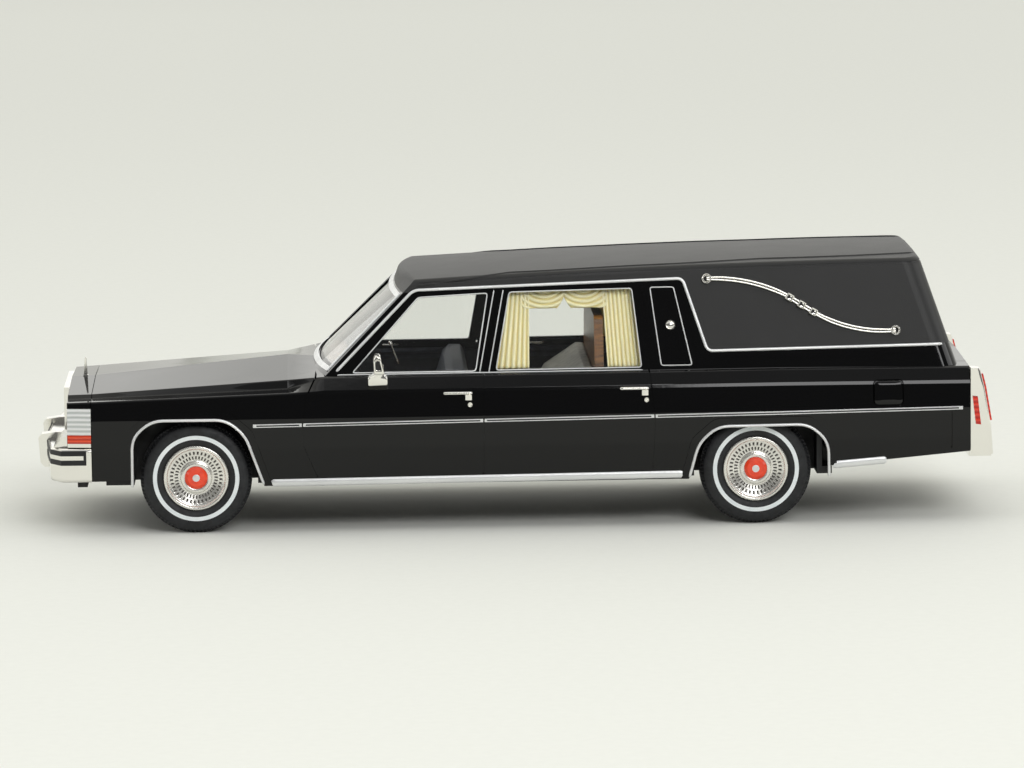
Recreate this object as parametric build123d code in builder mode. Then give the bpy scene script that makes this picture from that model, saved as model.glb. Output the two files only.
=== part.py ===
"""Scale model of a hearse at about 1:43: a cast body on a base plate, with two wheelsets that turn.

Millimetres. +X is forward, +Y is the car's left, +Z is up. The origin is on the ground,
below the middle of the model.
"""

import os
from math import atan2, cos, degrees, hypot, radians, sin

from build123d import *

os.makedirs("parts", exist_ok=True)

# Lengths along the car, from the guards of the front bumper to the rear bumper
front_overhang = 24.4
cowl_run = 16.3
front_door_length = 27.4
rear_door_length = 26.2
quarter_run = 15.45
rear_overhang = 36.3
wheelbase = cowl_run + front_door_length + rear_door_length + quarter_run
nose_x = (front_overhang + wheelbase + rear_overhang) / 2
tail_x = -nose_x
front_axle_x = nose_x - front_overhang
door_front_x = front_axle_x - cowl_run
door_middle_x = door_front_x - front_door_length
door_rear_x = door_middle_x - rear_door_length
rear_axle_x = door_rear_x - quarter_run

# Main sizes of the body
body_front_x = front_axle_x + 15.7
body_rear_x = rear_axle_x - 32.8
sill_z = 7.3
waist_half_width = 22.2
belt_z = 23.7
body_wall = 1.0
crease_round = 0.3
roof_front_z = 38.25
roof_rear_z = 40.45
roof_rise = 0.4
roof_round = 1.1

# Wheels
tyre_radius = 8.5
tyre_width = 5.2
tyre_seat_radius = 5.0
track_width = 36.4
axle_radius = 0.7
axle_running_gap = 0.05
well_side_gap = 0.9
well_wall = 0.8

# Fine sizes that many pieces share
trim_height = 0.25
trim_width = 0.6
line_height = 0.15
line_width = 0.3
gap_width = 0.22
gap_depth = 0.3
glass_recess = 0.3
glass_thickness = 0.6
seat_gap = 0.1
reach = 40.0


def side_prism(points, low_y=-reach, high_y=reach):
    """A prism across the car whose outline is seen from the side, as (x, z) points."""
    with BuildPart() as prism:
        with BuildSketch(Plane.XZ.offset(-high_y)):
            with BuildLine():
                Polyline(*points, close=True)
            make_face()
        extrude(amount=high_y - low_y)
    return prism.part


def side_band(points, width, low_y=-reach, high_y=reach):
    """A strip of even width along an open run of (x, z) points, taken across the car."""
    with BuildPart() as band:
        with BuildSketch(Plane.XZ.offset(-high_y)):
            with BuildLine():
                Polyline(*points)
            trace(line_width=width)
        extrude(amount=high_y - low_y)
    return band.part


def front_prism(points, low_x, high_x):
    """A prism along the car whose outline is seen from the front, as (y, z) points."""
    with BuildPart() as prism:
        with BuildSketch(Plane.YZ.offset(low_x)):
            with BuildLine():
                Polyline(*points, close=True)
            make_face()
        extrude(amount=high_x - low_x)
    return prism.part


def front_band(points, width, low_x, high_x):
    """A strip of even width along a run of (y, z) points, taken along the car."""
    with BuildPart() as band:
        with BuildSketch(Plane.YZ.offset(low_x)):
            with BuildLine():
                Polyline(*points)
            trace(line_width=width)
        extrude(amount=high_x - low_x)
    return band.part


def block(low, high):
    """A plain box between two corners."""
    centre = [(a + b) / 2 for a, b in zip(low, high)]
    return Pos(*centre) * Box(*[b - a for a, b in zip(low, high)], mode=Mode.PRIVATE)


def both_sides(half):
    """A piece of the left side with its mirror image on the right."""
    return half + mirror(half, about=Plane.XZ)


# Body sections from nose to tail. Columns: x, then insets from the widest half width and heights:
# sill inset, waist inset, crease inset and z, fender strip outer inset and z,
# fender strip inner inset and z, hood or belt edge inset and z, ridge z
end_tuck = 0.7
sill_tuck = 0.7
BODY_SECTIONS = [
    (body_front_x, 1.3, end_tuck, 1.15, 20.2, 1.3, 20.5, 4.9, 20.55, 5.7, 21.1, 21.8),
    (door_front_x + 2.2, sill_tuck, 0.0, 0.45, 21.2, 0.6, 21.5, 4.3, 21.6, 5.0, 22.9, 24.6),
    (door_front_x - 3.4, sill_tuck, 0.0, 0.45, 21.3, 0.6, 21.8, 1.7, belt_z - 0.2, 2.1, belt_z, 24.2),
    (rear_axle_x - 4.0, sill_tuck, 0.0, 0.45, 21.4, 0.6, 21.9, 1.7, belt_z, 2.1, belt_z + 0.2, 24.4),
    (body_rear_x, 1.3, end_tuck, 1.15, 21.2, 1.3, 21.7, 2.3, belt_z - 0.2, 2.7, belt_z, 24.1),
]
waist_low_z = 13.0
waist_high_z = 17.6


def section_points(row, grow, foot_z):
    """Left half of a body section as (y, z) points, moved out by grow, and its ridge height."""
    _, sill, waist, crease, crease_z, out, out_z, inner, inner_z, edge, edge_z, ridge_z = row
    half = [
        (waist_half_width - sill + grow, foot_z),
        (waist_half_width - waist + grow, waist_low_z),
        (waist_half_width - waist + grow, waist_high_z),
        (waist_half_width - crease + grow, crease_z + 0.5 * grow),
        (waist_half_width - out + 0.9 * grow, out_z + 0.7 * grow),
        (waist_half_width - inner + 0.4 * grow, inner_z + grow),
        (waist_half_width - edge + 0.4 * grow, edge_z + grow),
    ]
    return half, ridge_z + grow


def draw_section(x, half, ridge_z, rounded):
    """A sketch of a whole body section at a place along the car, with its creases rounded."""
    other = [(-y, z) for y, z in reversed(half)]
    with BuildSketch(Plane.YZ.offset(x)) as section:
        with BuildLine():
            Polyline(*half, (0.0, ridge_z), *other, close=True)
        make_face()
        if rounded:
            creases = [v for v in section.vertices() if v.Y > waist_high_z + 0.5 and abs(v.X) > 1.0]
            fillet(creases, radius=crease_round)
    return section.sketch


def body_form(grow=0.0, foot_z=sill_z):
    """The lower body with its hood, every face moved out by grow; the inside has sharp creases."""
    last = len(BODY_SECTIONS) - 1
    with BuildPart() as form:
        sections = []
        for index, row in enumerate(BODY_SECTIONS):
            x = row[0] + (grow if index == 0 else -grow if index == last else 0.0)
            half, ridge_z = section_points(row, grow, foot_z)
            sections.append(draw_section(x, half, ridge_z, rounded=grow >= 0.0))
        loft(sections, ruled=True)
    return form.part


# The cabin leans in on all sides from its foot, and the roof's front edge bulges over the windscreen
cabin_foot_z = 22.9
cabin_cap_z = 46.0
windscreen_foot_x = front_axle_x - 16.78
windscreen_corner_x = front_axle_x - 19.1
screen_lean = 1.093
corner_lean = 0.985
side_lean = 0.235
rear_lean = 0.335
brow_z = 35.7
brow_lean = 0.3
cabin_side_y = waist_half_width - 2.3
cabin_front_y = waist_half_width - 2.8
cabin_rear_x = body_rear_x + 1.3
cabin_corner_round = 3.0
crown_span = 24.0
crown_drop = 1.2
roof_front_x = front_axle_x - 33.0
roof_rear_x = cabin_rear_x + 7.7
crown_rear_turn = 0.8
crown_turn = 5.5


def crown_form(grow):
    """All that lies below the roof's top, which is arched across the car and along it."""
    middle = ((roof_front_x + roof_rear_x) / 2, (roof_front_z + roof_rear_z) / 2 + roof_rise)
    roof_line = ThreePointArc((roof_front_x, roof_front_z), middle, (roof_rear_x, roof_rear_z))
    centre = roof_line.arc_center
    top = roof_line.radius + grow
    lean = radians(crown_rear_turn)
    rear_plane = Plane(origin=(centre.X, 0, centre.Y), x_dir=(0, 1, 0), z_dir=(cos(lean), 0, sin(lean)))
    with BuildPart() as form:
        with BuildSketch(rear_plane):
            with BuildLine():
                crown = ThreePointArc((-crown_span, top - crown_drop), (0, top), (crown_span, top - crown_drop))
                Polyline(crown @ 1, (crown_span, top - reach), (-crown_span, top - reach), crown @ 0)
            make_face()
        revolve(axis=Axis((centre.X, 0, centre.Y), (0, 1, 0)), revolution_arc=crown_turn)
    return form.part


def cabin_form(grow=0.0, foot_z=cabin_foot_z):
    """The cabin with its roof, every face moved out by grow."""
    with BuildPart() as form:
        for z in (foot_z, brow_z, cabin_cap_z):
            rise = z - cabin_foot_z
            brow_rise = max(z - brow_z, 0.0)
            front_x = windscreen_foot_x - screen_lean * (rise - brow_rise) - brow_lean * brow_rise + 1.5 * grow
            corner_x = windscreen_corner_x - corner_lean * rise + 1.2 * grow
            side_y = cabin_side_y - side_lean * rise + grow
            front_y = cabin_front_y - side_lean * rise + grow
            rear_x = cabin_rear_x + rear_lean * rise - grow
            with BuildSketch(Plane.XY.offset(z)) as plan:
                with BuildLine():
                    ThreePointArc((corner_x, front_y), (front_x, 0.0), (corner_x, -front_y))
                    Polyline((corner_x, -front_y), (rear_x, -side_y), (rear_x, side_y), (corner_x, front_y))
                make_face()
                rear_corners = [v for v in plan.vertices() if v.X < rear_x + 0.1]
                fillet(rear_corners, radius=cabin_corner_round)
        loft(ruled=True)
        add(crown_form(grow), mode=Mode.INTERSECT)
    return form.part


def cabin_inner_y(z):
    """Half width of the space inside the cabin at a height, at its narrow front end."""
    return cabin_front_y - side_lean * (z - cabin_foot_z) - body_wall


def skin(form, band, height=trim_height, base=0.0):
    """The part of a band that stands proud of a form by a height, from a base height on."""
    return (form(base + height) & band) - form(base)


body_outer = body_form()
cabin_outer = cabin_form()

# Openings seen from the side, as (x, z) corners, and from the front, as (y, z) corners
front_window = [
    (door_middle_x + 9.5, 35.2),
    (door_middle_x - 1.1, 35.7),
    (door_middle_x + 0.9, 24.1),
    (door_middle_x + 19.7, 24.1),
]
rear_window = [
    (door_middle_x - 4.4, 35.8),
    (door_rear_x + 3.1, 36.1),
    (door_rear_x + 1.8, 24.3),
    (door_middle_x - 2.2, 24.2),
]
opera_window = [
    (door_rear_x + 0.3, 36.2),
    (door_rear_x - 3.3, 36.2),
    (door_rear_x - 5.9, 24.5),
    (door_rear_x - 1.2, 24.5),
]
screen_opening = [(-17.6, 24.6), (17.6, 24.6), (15.2, 35.4), (-15.2, 35.4)]
tailgate_opening = [(-11.5, 27.5), (11.5, 27.5), (9.8, 36.0), (-9.8, 36.0)]

# Wheel arches seen from the side. Columns: x from the axle, z
front_arch = [(9.7, 5.0), (9.6, 15.0), (6.6, 17.6), (-4.7, 17.6), (-7.6, 15.2), (-11.2, 5.0)]
rear_arch = [(10.9, 5.0), (8.8, 12.9), (5.9, 15.4), (-8.0, 15.5), (-11.0, 12.8), (-11.2, 5.0)]
arch_corner_round = 1.6
ARCHES = [(front_axle_x, front_arch), (rear_axle_x, rear_arch)]

# Shut lines of the doors and of the tail panel, as runs of (x, z) points
SHUT_LINES = [
    [
        (door_front_x - 2.2, belt_z),
        (door_front_x - 0.5, 20.7),
        (door_front_x, 16.6),
        (door_front_x - 0.2, 13.5),
        (door_front_x - 2.2, 8.6),
    ],
    [(door_middle_x - 0.3, belt_z + 0.3), (door_middle_x, 8.6)],
    [(door_rear_x + 0.7, belt_z + 0.3), (door_rear_x, 17.2), (door_rear_x + 0.4, 8.6)],
]
tail_panel_line = [(body_rear_x + 2.9, 17.0), (body_rear_x + 2.9, 11.4)]

# Rear door seen from behind, as (y, z) points
rear_door_foot_z = 14.6
rear_door_half_width = 14.9
rear_door_line = [
    (-rear_door_half_width, rear_door_foot_z),
    (-rear_door_half_width, belt_z),
    (-12.4, 37.0),
    (12.4, 37.0),
    (rear_door_half_width, belt_z),
    (rear_door_half_width, rear_door_foot_z),
]


def arch_prism(axle_x, outline):
    """The space that a wheel arch opens in the side of the body."""
    points = [(axle_x + x, z) for x, z in outline]
    with BuildPart() as prism:
        with BuildSketch(Plane.XZ.offset(-reach)):
            with BuildLine():
                FilletPolyline(*points, radius=arch_corner_round)
                Line(points[-1], points[0])
            make_face()
        extrude(amount=2 * reach)
    return prism.part


def arch_band(axle_x, outline, width):
    """A strip along the edge of a wheel arch, taken across the car."""
    points = [(axle_x + x, z) for x, z in outline]
    with BuildPart() as band:
        with BuildSketch(Plane.XZ.offset(-reach)):
            with BuildLine():
                FilletPolyline(*points, radius=arch_corner_round)
            trace(line_width=width)
        extrude(amount=2 * reach)
    return band.part


screen_prism = front_prism(screen_opening, front_axle_x - 36.0, nose_x)
tailgate_prism = front_prism(tailgate_opening, -nose_x, cabin_rear_x + 8.0)
side_window_prisms = [side_prism(front_window), side_prism(rear_window)]
opera_prism = side_prism(opera_window)
well_inner_y = (track_width - tyre_width) / 2 - well_side_gap

# Flared edge round each wheel arch, pressed out of the body
flare_width = 2.4
flare_height = 0.2
flares = [skin(body_form, arch_band(axle_x, outline, flare_width), flare_height) for axle_x, outline in ARCHES]

# Filler flap in the left rear quarter
flap_low_x = body_rear_x + 10.2
flap_size = 4.7
flap_low_z = 18.05
flap_round = 0.7
with BuildPart() as flap_groove:
    with BuildSketch(Plane.XZ.offset(-reach)):
        with Locations((flap_low_x + flap_size / 2, flap_low_z + flap_size * 0.42)):
            RectangleRounded(flap_size, flap_size * 0.84, flap_round)
            RectangleRounded(flap_size - 0.36, flap_size * 0.84 - 0.36, flap_round - 0.18, mode=Mode.SUBTRACT)
    extrude(amount=reach)

# Chrome line that parts the covered roof from the painted cabin, as (x, z) points
roof_trim_line = [
    (door_front_x - 5.3, 24.4),
    (door_front_x - 17.2, 36.3),
    (door_rear_x - 4.7, 37.5),
    (door_rear_x - 8.3, 26.6),
    (cabin_rear_x + 2.4, 27.1),
]
cover_front_z = 35.9
cover_front_x = roof_trim_line[1][0] + (roof_trim_line[1][1] - cover_front_z) * corner_lean
cover_region = [
    (nose_x, cover_front_z),
    (cover_front_x, cover_front_z),
    *roof_trim_line[1:],
    (tail_x, roof_trim_line[-1][1]),
    (tail_x, cabin_cap_z),
    (nose_x, cabin_cap_z),
]

# Cast shell of hood, wings, doors and cabin, all one wall
with BuildPart() as shell:
    add(cabin_outer)
    fillet(shell.faces().sort_by(Axis.Z)[-1].edges(), radius=roof_round)
    add(body_outer)
    for flare in flares:
        add(flare)
    add(body_form(-body_wall, foot_z=-1.0), mode=Mode.SUBTRACT)
    add(cabin_form(-body_wall, foot_z=cabin_foot_z - 3.0), mode=Mode.SUBTRACT)
    for prism in [screen_prism, tailgate_prism, *side_window_prisms]:
        add(prism, mode=Mode.SUBTRACT)
    for axle_x, outline in ARCHES:
        add(arch_prism(axle_x, outline), mode=Mode.SUBTRACT)
    add(block((front_axle_x + 8.0, -reach, 0.0), (nose_x, reach, 8.4)), mode=Mode.SUBTRACT)
    cut_front_x = rear_axle_x - 9.0
    cut_rear_x = body_rear_x - 2.0
    tail_cut = [(cut_front_x, 0.0), (cut_front_x, 8.8), (cut_rear_x, 11.0), (cut_rear_x, 0.0)]
    add(side_prism(tail_cut), mode=Mode.SUBTRACT)
    body_core = body_form(-gap_depth)
    cabin_core = cabin_form(-gap_depth)
    for line in [*SHUT_LINES, tail_panel_line]:
        add(side_band(line, gap_width) - body_core, mode=Mode.SUBTRACT)
    add(flap_groove.part - body_core, mode=Mode.SUBTRACT)
    rear_door_band = front_band(rear_door_line, gap_width, -nose_x, cabin_rear_x + 9.0)
    add(rear_door_band - body_core - cabin_core, mode=Mode.SUBTRACT)
    add(opera_prism - cabin_core, mode=Mode.SUBTRACT)

with BuildPart() as body_shell:
    add(shell.part)
    add(side_prism(cover_region), mode=Mode.SUBTRACT)
body_shell.part.label = "body_shell"
export_step(body_shell.part, "parts/body_shell.step")

# Covered part of the roof, with a welt along each shoulder
welt_width = 0.3
welt_depth = 0.12
welt_line = [
    (roof_front_x - 1.5, roof_front_z - 1.0),
    (roof_front_x - 28.0, roof_front_z + 0.35),
    (roof_rear_x - 8.0, roof_rear_z - 1.0),
]
with BuildPart() as roof_cover:
    add(shell.part)
    add(side_prism(cover_region), mode=Mode.INTERSECT)
    add(side_band(welt_line, welt_width) - cabin_form(-welt_depth), mode=Mode.SUBTRACT)
roof_cover.part.label = "roof_cover"
export_step(roof_cover.part, "parts/roof_cover.step")

# Front end: the wings and bonnet go on into a header, with lamps, bezels and the grille below it
header_depth = 3.7
header_gap = 0.1
header_taper = 0.5
header_low_z = 13.6
lamp_low_z = 15.6
lamp_high_z = 19.5
marker_low_z = 14.2
grille_half_width = 9.4
lamp_outer_y = waist_half_width - 4.9
grille_depth = 0.9


def header_form():
    """The front end, which carries the body's first section forward and narrows it a little."""
    with BuildPart() as form:
        sections = []
        for step, shrink in ((header_gap, 0.0), (header_depth, header_taper)):
            half, ridge_z = section_points(BODY_SECTIONS[0], 0.0, header_low_z)
            shrunk = [(y - shrink, z if z <= waist_high_z else z - 0.3 * shrink) for y, z in half]
            shrunk[0] = (shrunk[1][0], header_low_z)
            shrunk.pop(1)
            sections.append(draw_section(body_front_x + step, shrunk, ridge_z - 0.3 * shrink, rounded=True))
        loft(sections, ruled=True)
    return form.part


header_outer = header_form()
header_x = body_front_x + header_depth


def header_slice(low, high):
    """A piece of the front end between two corners."""
    return header_outer & block(low, high)


with BuildPart() as header_panel:
    add(header_slice((0.0, -reach, lamp_high_z), (nose_x, reach, reach)))
    add(header_slice((0.0, -grille_half_width, header_low_z), (nose_x, grille_half_width, lamp_high_z)))
header_panel.part.label = "header_panel"
export_step(header_panel.part, "parts/header_panel.step")

lamp_size = 3.4
lamp_pitch = 4.0
lamp_pocket_depth = 1.0
lamp_pane = 0.25
lamp_middle_y = (grille_half_width + lamp_outer_y) / 2
lamp_middle_z = (lamp_low_z + lamp_high_z) / 2
with BuildPart() as bezel_half:
    add(header_slice((0.0, grille_half_width, header_low_z), (nose_x, lamp_outer_y, lamp_high_z)))
    add(header_slice((0.0, lamp_outer_y, header_low_z), (nose_x, reach, marker_low_z)))
    with BuildSketch(Plane.YZ.offset(header_x)):
        with Locations((lamp_middle_y, lamp_middle_z)):
            with GridLocations(lamp_pitch, 1, 2, 1):
                Rectangle(lamp_size, lamp_size - 0.3)
    extrude(amount=-lamp_pocket_depth, mode=Mode.SUBTRACT)
with BuildPart() as lamp_bezels:
    add(both_sides(bezel_half.part))
lamp_bezels.part.label = "lamp_bezels"
export_step(lamp_bezels.part, "parts/lamp_bezels.step")

with BuildPart() as lamp_half:
    with BuildSketch(Plane.YZ.offset(header_x - lamp_pocket_depth)):
        with Locations((lamp_middle_y, lamp_middle_z)):
            with GridLocations(lamp_pitch, 1, 2, 1):
                Rectangle(lamp_size, lamp_size - 0.3)
    extrude(amount=lamp_pocket_depth - lamp_pane)
with BuildPart() as headlamps:
    add(both_sides(lamp_half.part))
headlamps.part.label = "headlamps"
export_step(headlamps.part, "parts/headlamps.step")

marker_high_z = lamp_low_z - 0.1
with BuildPart() as corner_lamps:
    add(both_sides(header_slice((0.0, lamp_outer_y, marker_high_z), (nose_x, reach, lamp_high_z))))
corner_lamps.part.label = "corner_lamps"
export_step(corner_lamps.part, "parts/corner_lamps.step")

with BuildPart() as front_markers:
    add(both_sides(header_slice((0.0, lamp_outer_y, marker_low_z), (nose_x, reach, marker_high_z))))
front_markers.part.label = "front_markers"
export_step(front_markers.part, "parts/front_markers.step")

# Egg-crate grille, one pierced plate with a frame
grille_high_z = 21.2
grille_frame = 0.5
grille_columns = 13
grille_rows = 6
grille_bar = 0.3
grille_middle_z = (header_low_z + grille_high_z) / 2
grille_width = 2 * grille_half_width
grille_height = grille_high_z - header_low_z
cell_pitch_y = (grille_width - 2 * grille_frame) / grille_columns
cell_pitch_z = (grille_height - 2 * grille_frame) / grille_rows
with BuildPart() as grille:
    with BuildSketch(Plane.YZ.offset(header_x)):
        with Locations((0, grille_middle_z)):
            Rectangle(grille_width, grille_height)
            with GridLocations(cell_pitch_y, cell_pitch_z, grille_columns, grille_rows):
                Rectangle(cell_pitch_y - grille_bar, cell_pitch_z - grille_bar, mode=Mode.SUBTRACT)
    extrude(amount=grille_depth)
grille.part.label = "grille"
export_step(grille.part, "parts/grille.step")

ornament_x = body_front_x + 1.6
ornament_foot_z = 21.6
ornament_neck_z = ornament_foot_z + 0.4
ornament_top_z = ornament_foot_z + 3.0
ornament_width = 0.35
with BuildPart() as hood_ornament:
    with BuildSketch(Plane.XY.offset(ornament_foot_z)):
        with Locations((ornament_x, 0)):
            Rectangle(1.0, 0.5)
    with BuildSketch(Plane.XY.offset(ornament_neck_z)):
        with Locations((ornament_x, 0)):
            Rectangle(0.6, ornament_width)
    loft(ruled=True)
    with BuildSketch(Plane.XZ.offset(-ornament_width / 2)):
        with BuildLine():
            Polyline(
                (ornament_x - 0.3, ornament_neck_z),
                (ornament_x + 0.3, ornament_neck_z),
                (ornament_x + 0.1, ornament_top_z),
                (ornament_x - 0.15, ornament_top_z),
                close=True,
            )
        make_face()
    extrude(amount=ornament_width)
    add(header_outer, mode=Mode.SUBTRACT)
hood_ornament.part.label = "hood_ornament"
export_step(hood_ornament.part, "parts/hood_ornament.step")

# Front bumper with its guards and the filler shelf that slopes up to the lamps
bumper_low_z = 8.2
bumper_high_z = 13.5
bumper_round = 0.6
bumper_end_y = waist_half_width - 0.7
bow_end_y = waist_half_width - 3.4
guard_y = 8.0
guard_width = 2.4
guard_foot_x = header_x + grille_depth + seat_gap
guard_outline = [
    (guard_foot_x, 8.9),
    (nose_x - 0.9, 8.9),
    (nose_x - 0.25, 9.6),
    (nose_x, 13.4),
    (nose_x - 0.5, 14.0),
    (nose_x - 2.6, 14.3),
    (guard_foot_x, 14.3),
]


def front_bumper_form(grow, low_z, high_z):
    """The front bumper's bar, which wraps round to the wing, between two heights."""
    foot_x = body_front_x + header_gap
    with BuildPart() as form:
        with BuildSketch(Plane.XY.offset(low_z)):
            with BuildLine():
                bow = ThreePointArc(
                    (nose_x - 2.3, -bow_end_y - grow),
                    (nose_x - 1.2 + grow, 0),
                    (nose_x - 2.3, bow_end_y + grow),
                )
                Polyline(bow @ 1, (nose_x - 4.0, bumper_end_y - 0.2 + grow), (foot_x, bumper_end_y + grow))
                Line((foot_x, bumper_end_y + grow), (foot_x, -bumper_end_y - grow))
                Polyline((foot_x, -bumper_end_y - grow), (nose_x - 4.0, -bumper_end_y + 0.2 - grow), bow @ 0)
            make_face()
        extrude(amount=high_z - low_z)
    return form.part


shelf_inner_y = grille_half_width + seat_gap
shelf_outer_y = bow_end_y + 1.0
shelf_outline = [
    (header_x + seat_gap, bumper_high_z),
    (nose_x - 2.8, bumper_high_z),
    (nose_x - 4.0, 14.7),
    (header_x + seat_gap, 15.3),
]
with BuildPart() as front_bumper:
    add(front_bumper_form(0.0, bumper_low_z, bumper_high_z))
    fillet(front_bumper.faces().sort_by(Axis.Z)[-1].edges().sort_by(Axis.X)[1:], radius=bumper_round)
    fillet(front_bumper.faces().sort_by(Axis.Z)[0].edges().sort_by(Axis.X)[1:], radius=bumper_round)
    for side in (1, -1):
        low_y, high_y = sorted((side * shelf_inner_y, side * shelf_outer_y))
        add(side_prism(shelf_outline, low_y, high_y))
        low_y, high_y = sorted((side * (guard_y - guard_width / 2), side * (guard_y + guard_width / 2)))
        add(side_prism(guard_outline, low_y, high_y))
front_bumper.part.label = "front_bumper"
export_step(front_bumper.part, "parts/front_bumper.step")

BUMPER_STRIPS = [(10.9, 11.65), (12.35, 13.1)]
strip_proud = 0.2
strip_rear_x = body_front_x + 0.9
with BuildPart() as front_bumper_strips:
    for low_z, high_z in BUMPER_STRIPS:
        add(front_bumper_form(strip_proud, low_z, high_z) - front_bumper.part)
    tie = block((strip_rear_x, -reach, BUMPER_STRIPS[0][0]), (strip_rear_x + 0.4, reach, BUMPER_STRIPS[-1][1]))
    add((front_bumper_form(strip_proud, BUMPER_STRIPS[0][0], BUMPER_STRIPS[-1][1]) & tie) - front_bumper.part)
    add(block((0.0, -reach, 0.0), (strip_rear_x, reach, reach)), mode=Mode.SUBTRACT)
front_bumper_strips.part.label = "front_bumper_strips"
export_step(front_bumper_strips.part, "parts/front_bumper_strips.step")

# Rear end: upright lamp housings at the corners with the bumper between and below them
tail_front_x = body_rear_x - 0.05
housing_low_z = 10.3
housing_outline = [
    (tail_front_x, 23.6),
    (tail_x + 2.0, 23.5),
    (tail_x + 1.3, 20.6),
    (tail_x + 0.3, 14.6),
    (tail_x, housing_low_z),
    (tail_front_x, housing_low_z),
]
housing_inner_y = waist_half_width - 3.6
housing_outer_y = waist_half_width - 0.9
housing_round = 0.4
rear_bumper_low_z = 9.6
rear_bumper_high_z = 14.4
rear_strip_half_width = housing_inner_y - 1.1
with BuildPart() as housing_half:
    add(side_prism(housing_outline, housing_inner_y, housing_outer_y))
    fillet(housing_half.faces().sort_by(Axis.Y)[-1].edges().sort_by(Axis.X)[:3], radius=housing_round)
with BuildPart() as rear_bumper_strip:
    add(block((tail_x, -rear_strip_half_width, 11.4), (tail_x + 0.4, rear_strip_half_width, 12.9)))
with BuildPart() as rear_bumper:
    add(both_sides(housing_half.part))
    beam_low = (tail_x, -housing_inner_y, rear_bumper_low_z)
    beam_high = (tail_front_x, housing_inner_y, rear_bumper_high_z)
    add(block(beam_low, beam_high))
    add(rear_bumper_strip.part, mode=Mode.SUBTRACT)
for name, piece in (("rear_bumper", rear_bumper), ("rear_bumper_strip", rear_bumper_strip)):
    piece.part.label = name
    export_step(piece.part, f"parts/{name}.step")

# Bright lines on the cabin and the body
with BuildPart() as roof_trim:
    add(skin(cabin_form, side_band(roof_trim_line, trim_width)))
roof_trim.part.label = "roof_trim"
export_step(roof_trim.part, "parts/roof_trim.step")

side_moulding_line = [(front_axle_x - 8.8, 16.6), (body_rear_x + 1.2, 17.55)]
with BuildPart() as side_mouldings:
    add(skin(body_form, side_band(side_moulding_line, 0.5)))
    for flare in flares:
        add(flare, mode=Mode.SUBTRACT)
    for line in SHUT_LINES:
        add(side_band(line, gap_width), mode=Mode.SUBTRACT)
side_mouldings.part.label = "side_mouldings"
export_step(side_mouldings.part, "parts/side_mouldings.step")

arch_lip_width = 0.6
with BuildPart() as arch_lips:
    for axle_x, outline in ARCHES:
        add(skin(body_form, arch_band(axle_x, outline, arch_lip_width), trim_height, flare_height))
arch_lips.part.label = "arch_lips"
export_step(arch_lips.part, "parts/arch_lips.step")

SILL_LINES = [
    ([(front_axle_x - 10.7, 7.85), (rear_axle_x + 10.2, 8.2)], 1.1),
    ([(rear_axle_x - 11.0, 9.15), (body_rear_x + 0.1, 11.15)], 0.55),
]
with BuildPart() as sill_mouldings:
    for line, width in SILL_LINES:
        add(skin(body_form, side_band(line, width)))
    for flare in flares:
        add(flare, mode=Mode.SUBTRACT)
    add(arch_lips.part, mode=Mode.SUBTRACT)
sill_mouldings.part.label = "sill_mouldings"
export_step(sill_mouldings.part, "parts/sill_mouldings.step")

# Glass lies in the openings, a little below the surface
glass_skin = cabin_form(-glass_recess) - cabin_form(-glass_recess - glass_thickness)
GLASS = [
    ("windscreen", [screen_prism]),
    ("tailgate_glass", [tailgate_prism]),
    ("side_windows", side_window_prisms),
]
for name, prisms in GLASS:
    with BuildPart() as pane:
        for prism in prisms:
            add(glass_skin & prism)
    pane.part.label = name
    export_step(pane.part, f"parts/{name}.step")

with BuildPart() as windscreen_trim:
    screen_line = [*screen_opening, screen_opening[0], screen_opening[1]]
    add(skin(cabin_form, front_band(screen_line, trim_width - 0.1, front_axle_x - 34.0, nose_x), line_height))
    add(body_outer, mode=Mode.SUBTRACT)
    add(roof_trim.part, mode=Mode.SUBTRACT)
windscreen_trim.part.label = "windscreen_trim"
export_step(windscreen_trim.part, "parts/windscreen_trim.step")

with BuildPart() as opera_frames:
    add(skin(cabin_form, side_band([*opera_window, opera_window[0]], line_width), line_height))
opera_frames.part.label = "opera_frames"
export_step(opera_frames.part, "parts/opera_frames.step")


def pins_across(points, radius):
    """Round pins taken across the car at given (x, z) points."""
    with BuildPart() as pins:
        with BuildSketch(Plane.XZ.offset(-reach)):
            with Locations(*points):
                Circle(radius)
        extrude(amount=2 * reach)
    return pins.part


opera_disc_centre = (door_rear_x - 2.7, 30.5)
opera_disc_radius = 0.8
with BuildPart() as opera_discs:
    add(skin(cabin_form, pins_across([opera_disc_centre], opera_disc_radius), gap_depth, -gap_depth))
opera_discs.part.label = "opera_discs"
export_step(opera_discs.part, "parts/opera_discs.step")

window_frame_lines = [
    [*front_window, front_window[0]],
    [*rear_window, rear_window[0]],
    [(door_middle_x + 0.3, 23.8), (door_middle_x - 2.1, 36.2)],
    [(door_middle_x - 1.1, 23.8), (door_middle_x - 3.5, 36.2)],
]
with BuildPart() as window_frames:
    for line in window_frame_lines:
        add(skin(cabin_form, side_band(line, line_width), line_height))
    add(body_outer, mode=Mode.SUBTRACT)
window_frames.part.label = "window_frames"
export_step(window_frames.part, "parts/window_frames.step")

belt_line = [(door_front_x - 5.0, belt_z + 0.25), (door_rear_x + 1.5, belt_z + 0.3)]
with BuildPart() as belt_mouldings:
    add(skin(cabin_form, side_band(belt_line, 0.5), 0.4))
    for piece in (body_outer, window_frames.part, roof_trim.part, windscreen_trim.part):
        add(piece, mode=Mode.SUBTRACT)
belt_mouldings.part.label = "belt_mouldings"
export_step(belt_mouldings.part, "parts/belt_mouldings.step")

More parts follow.
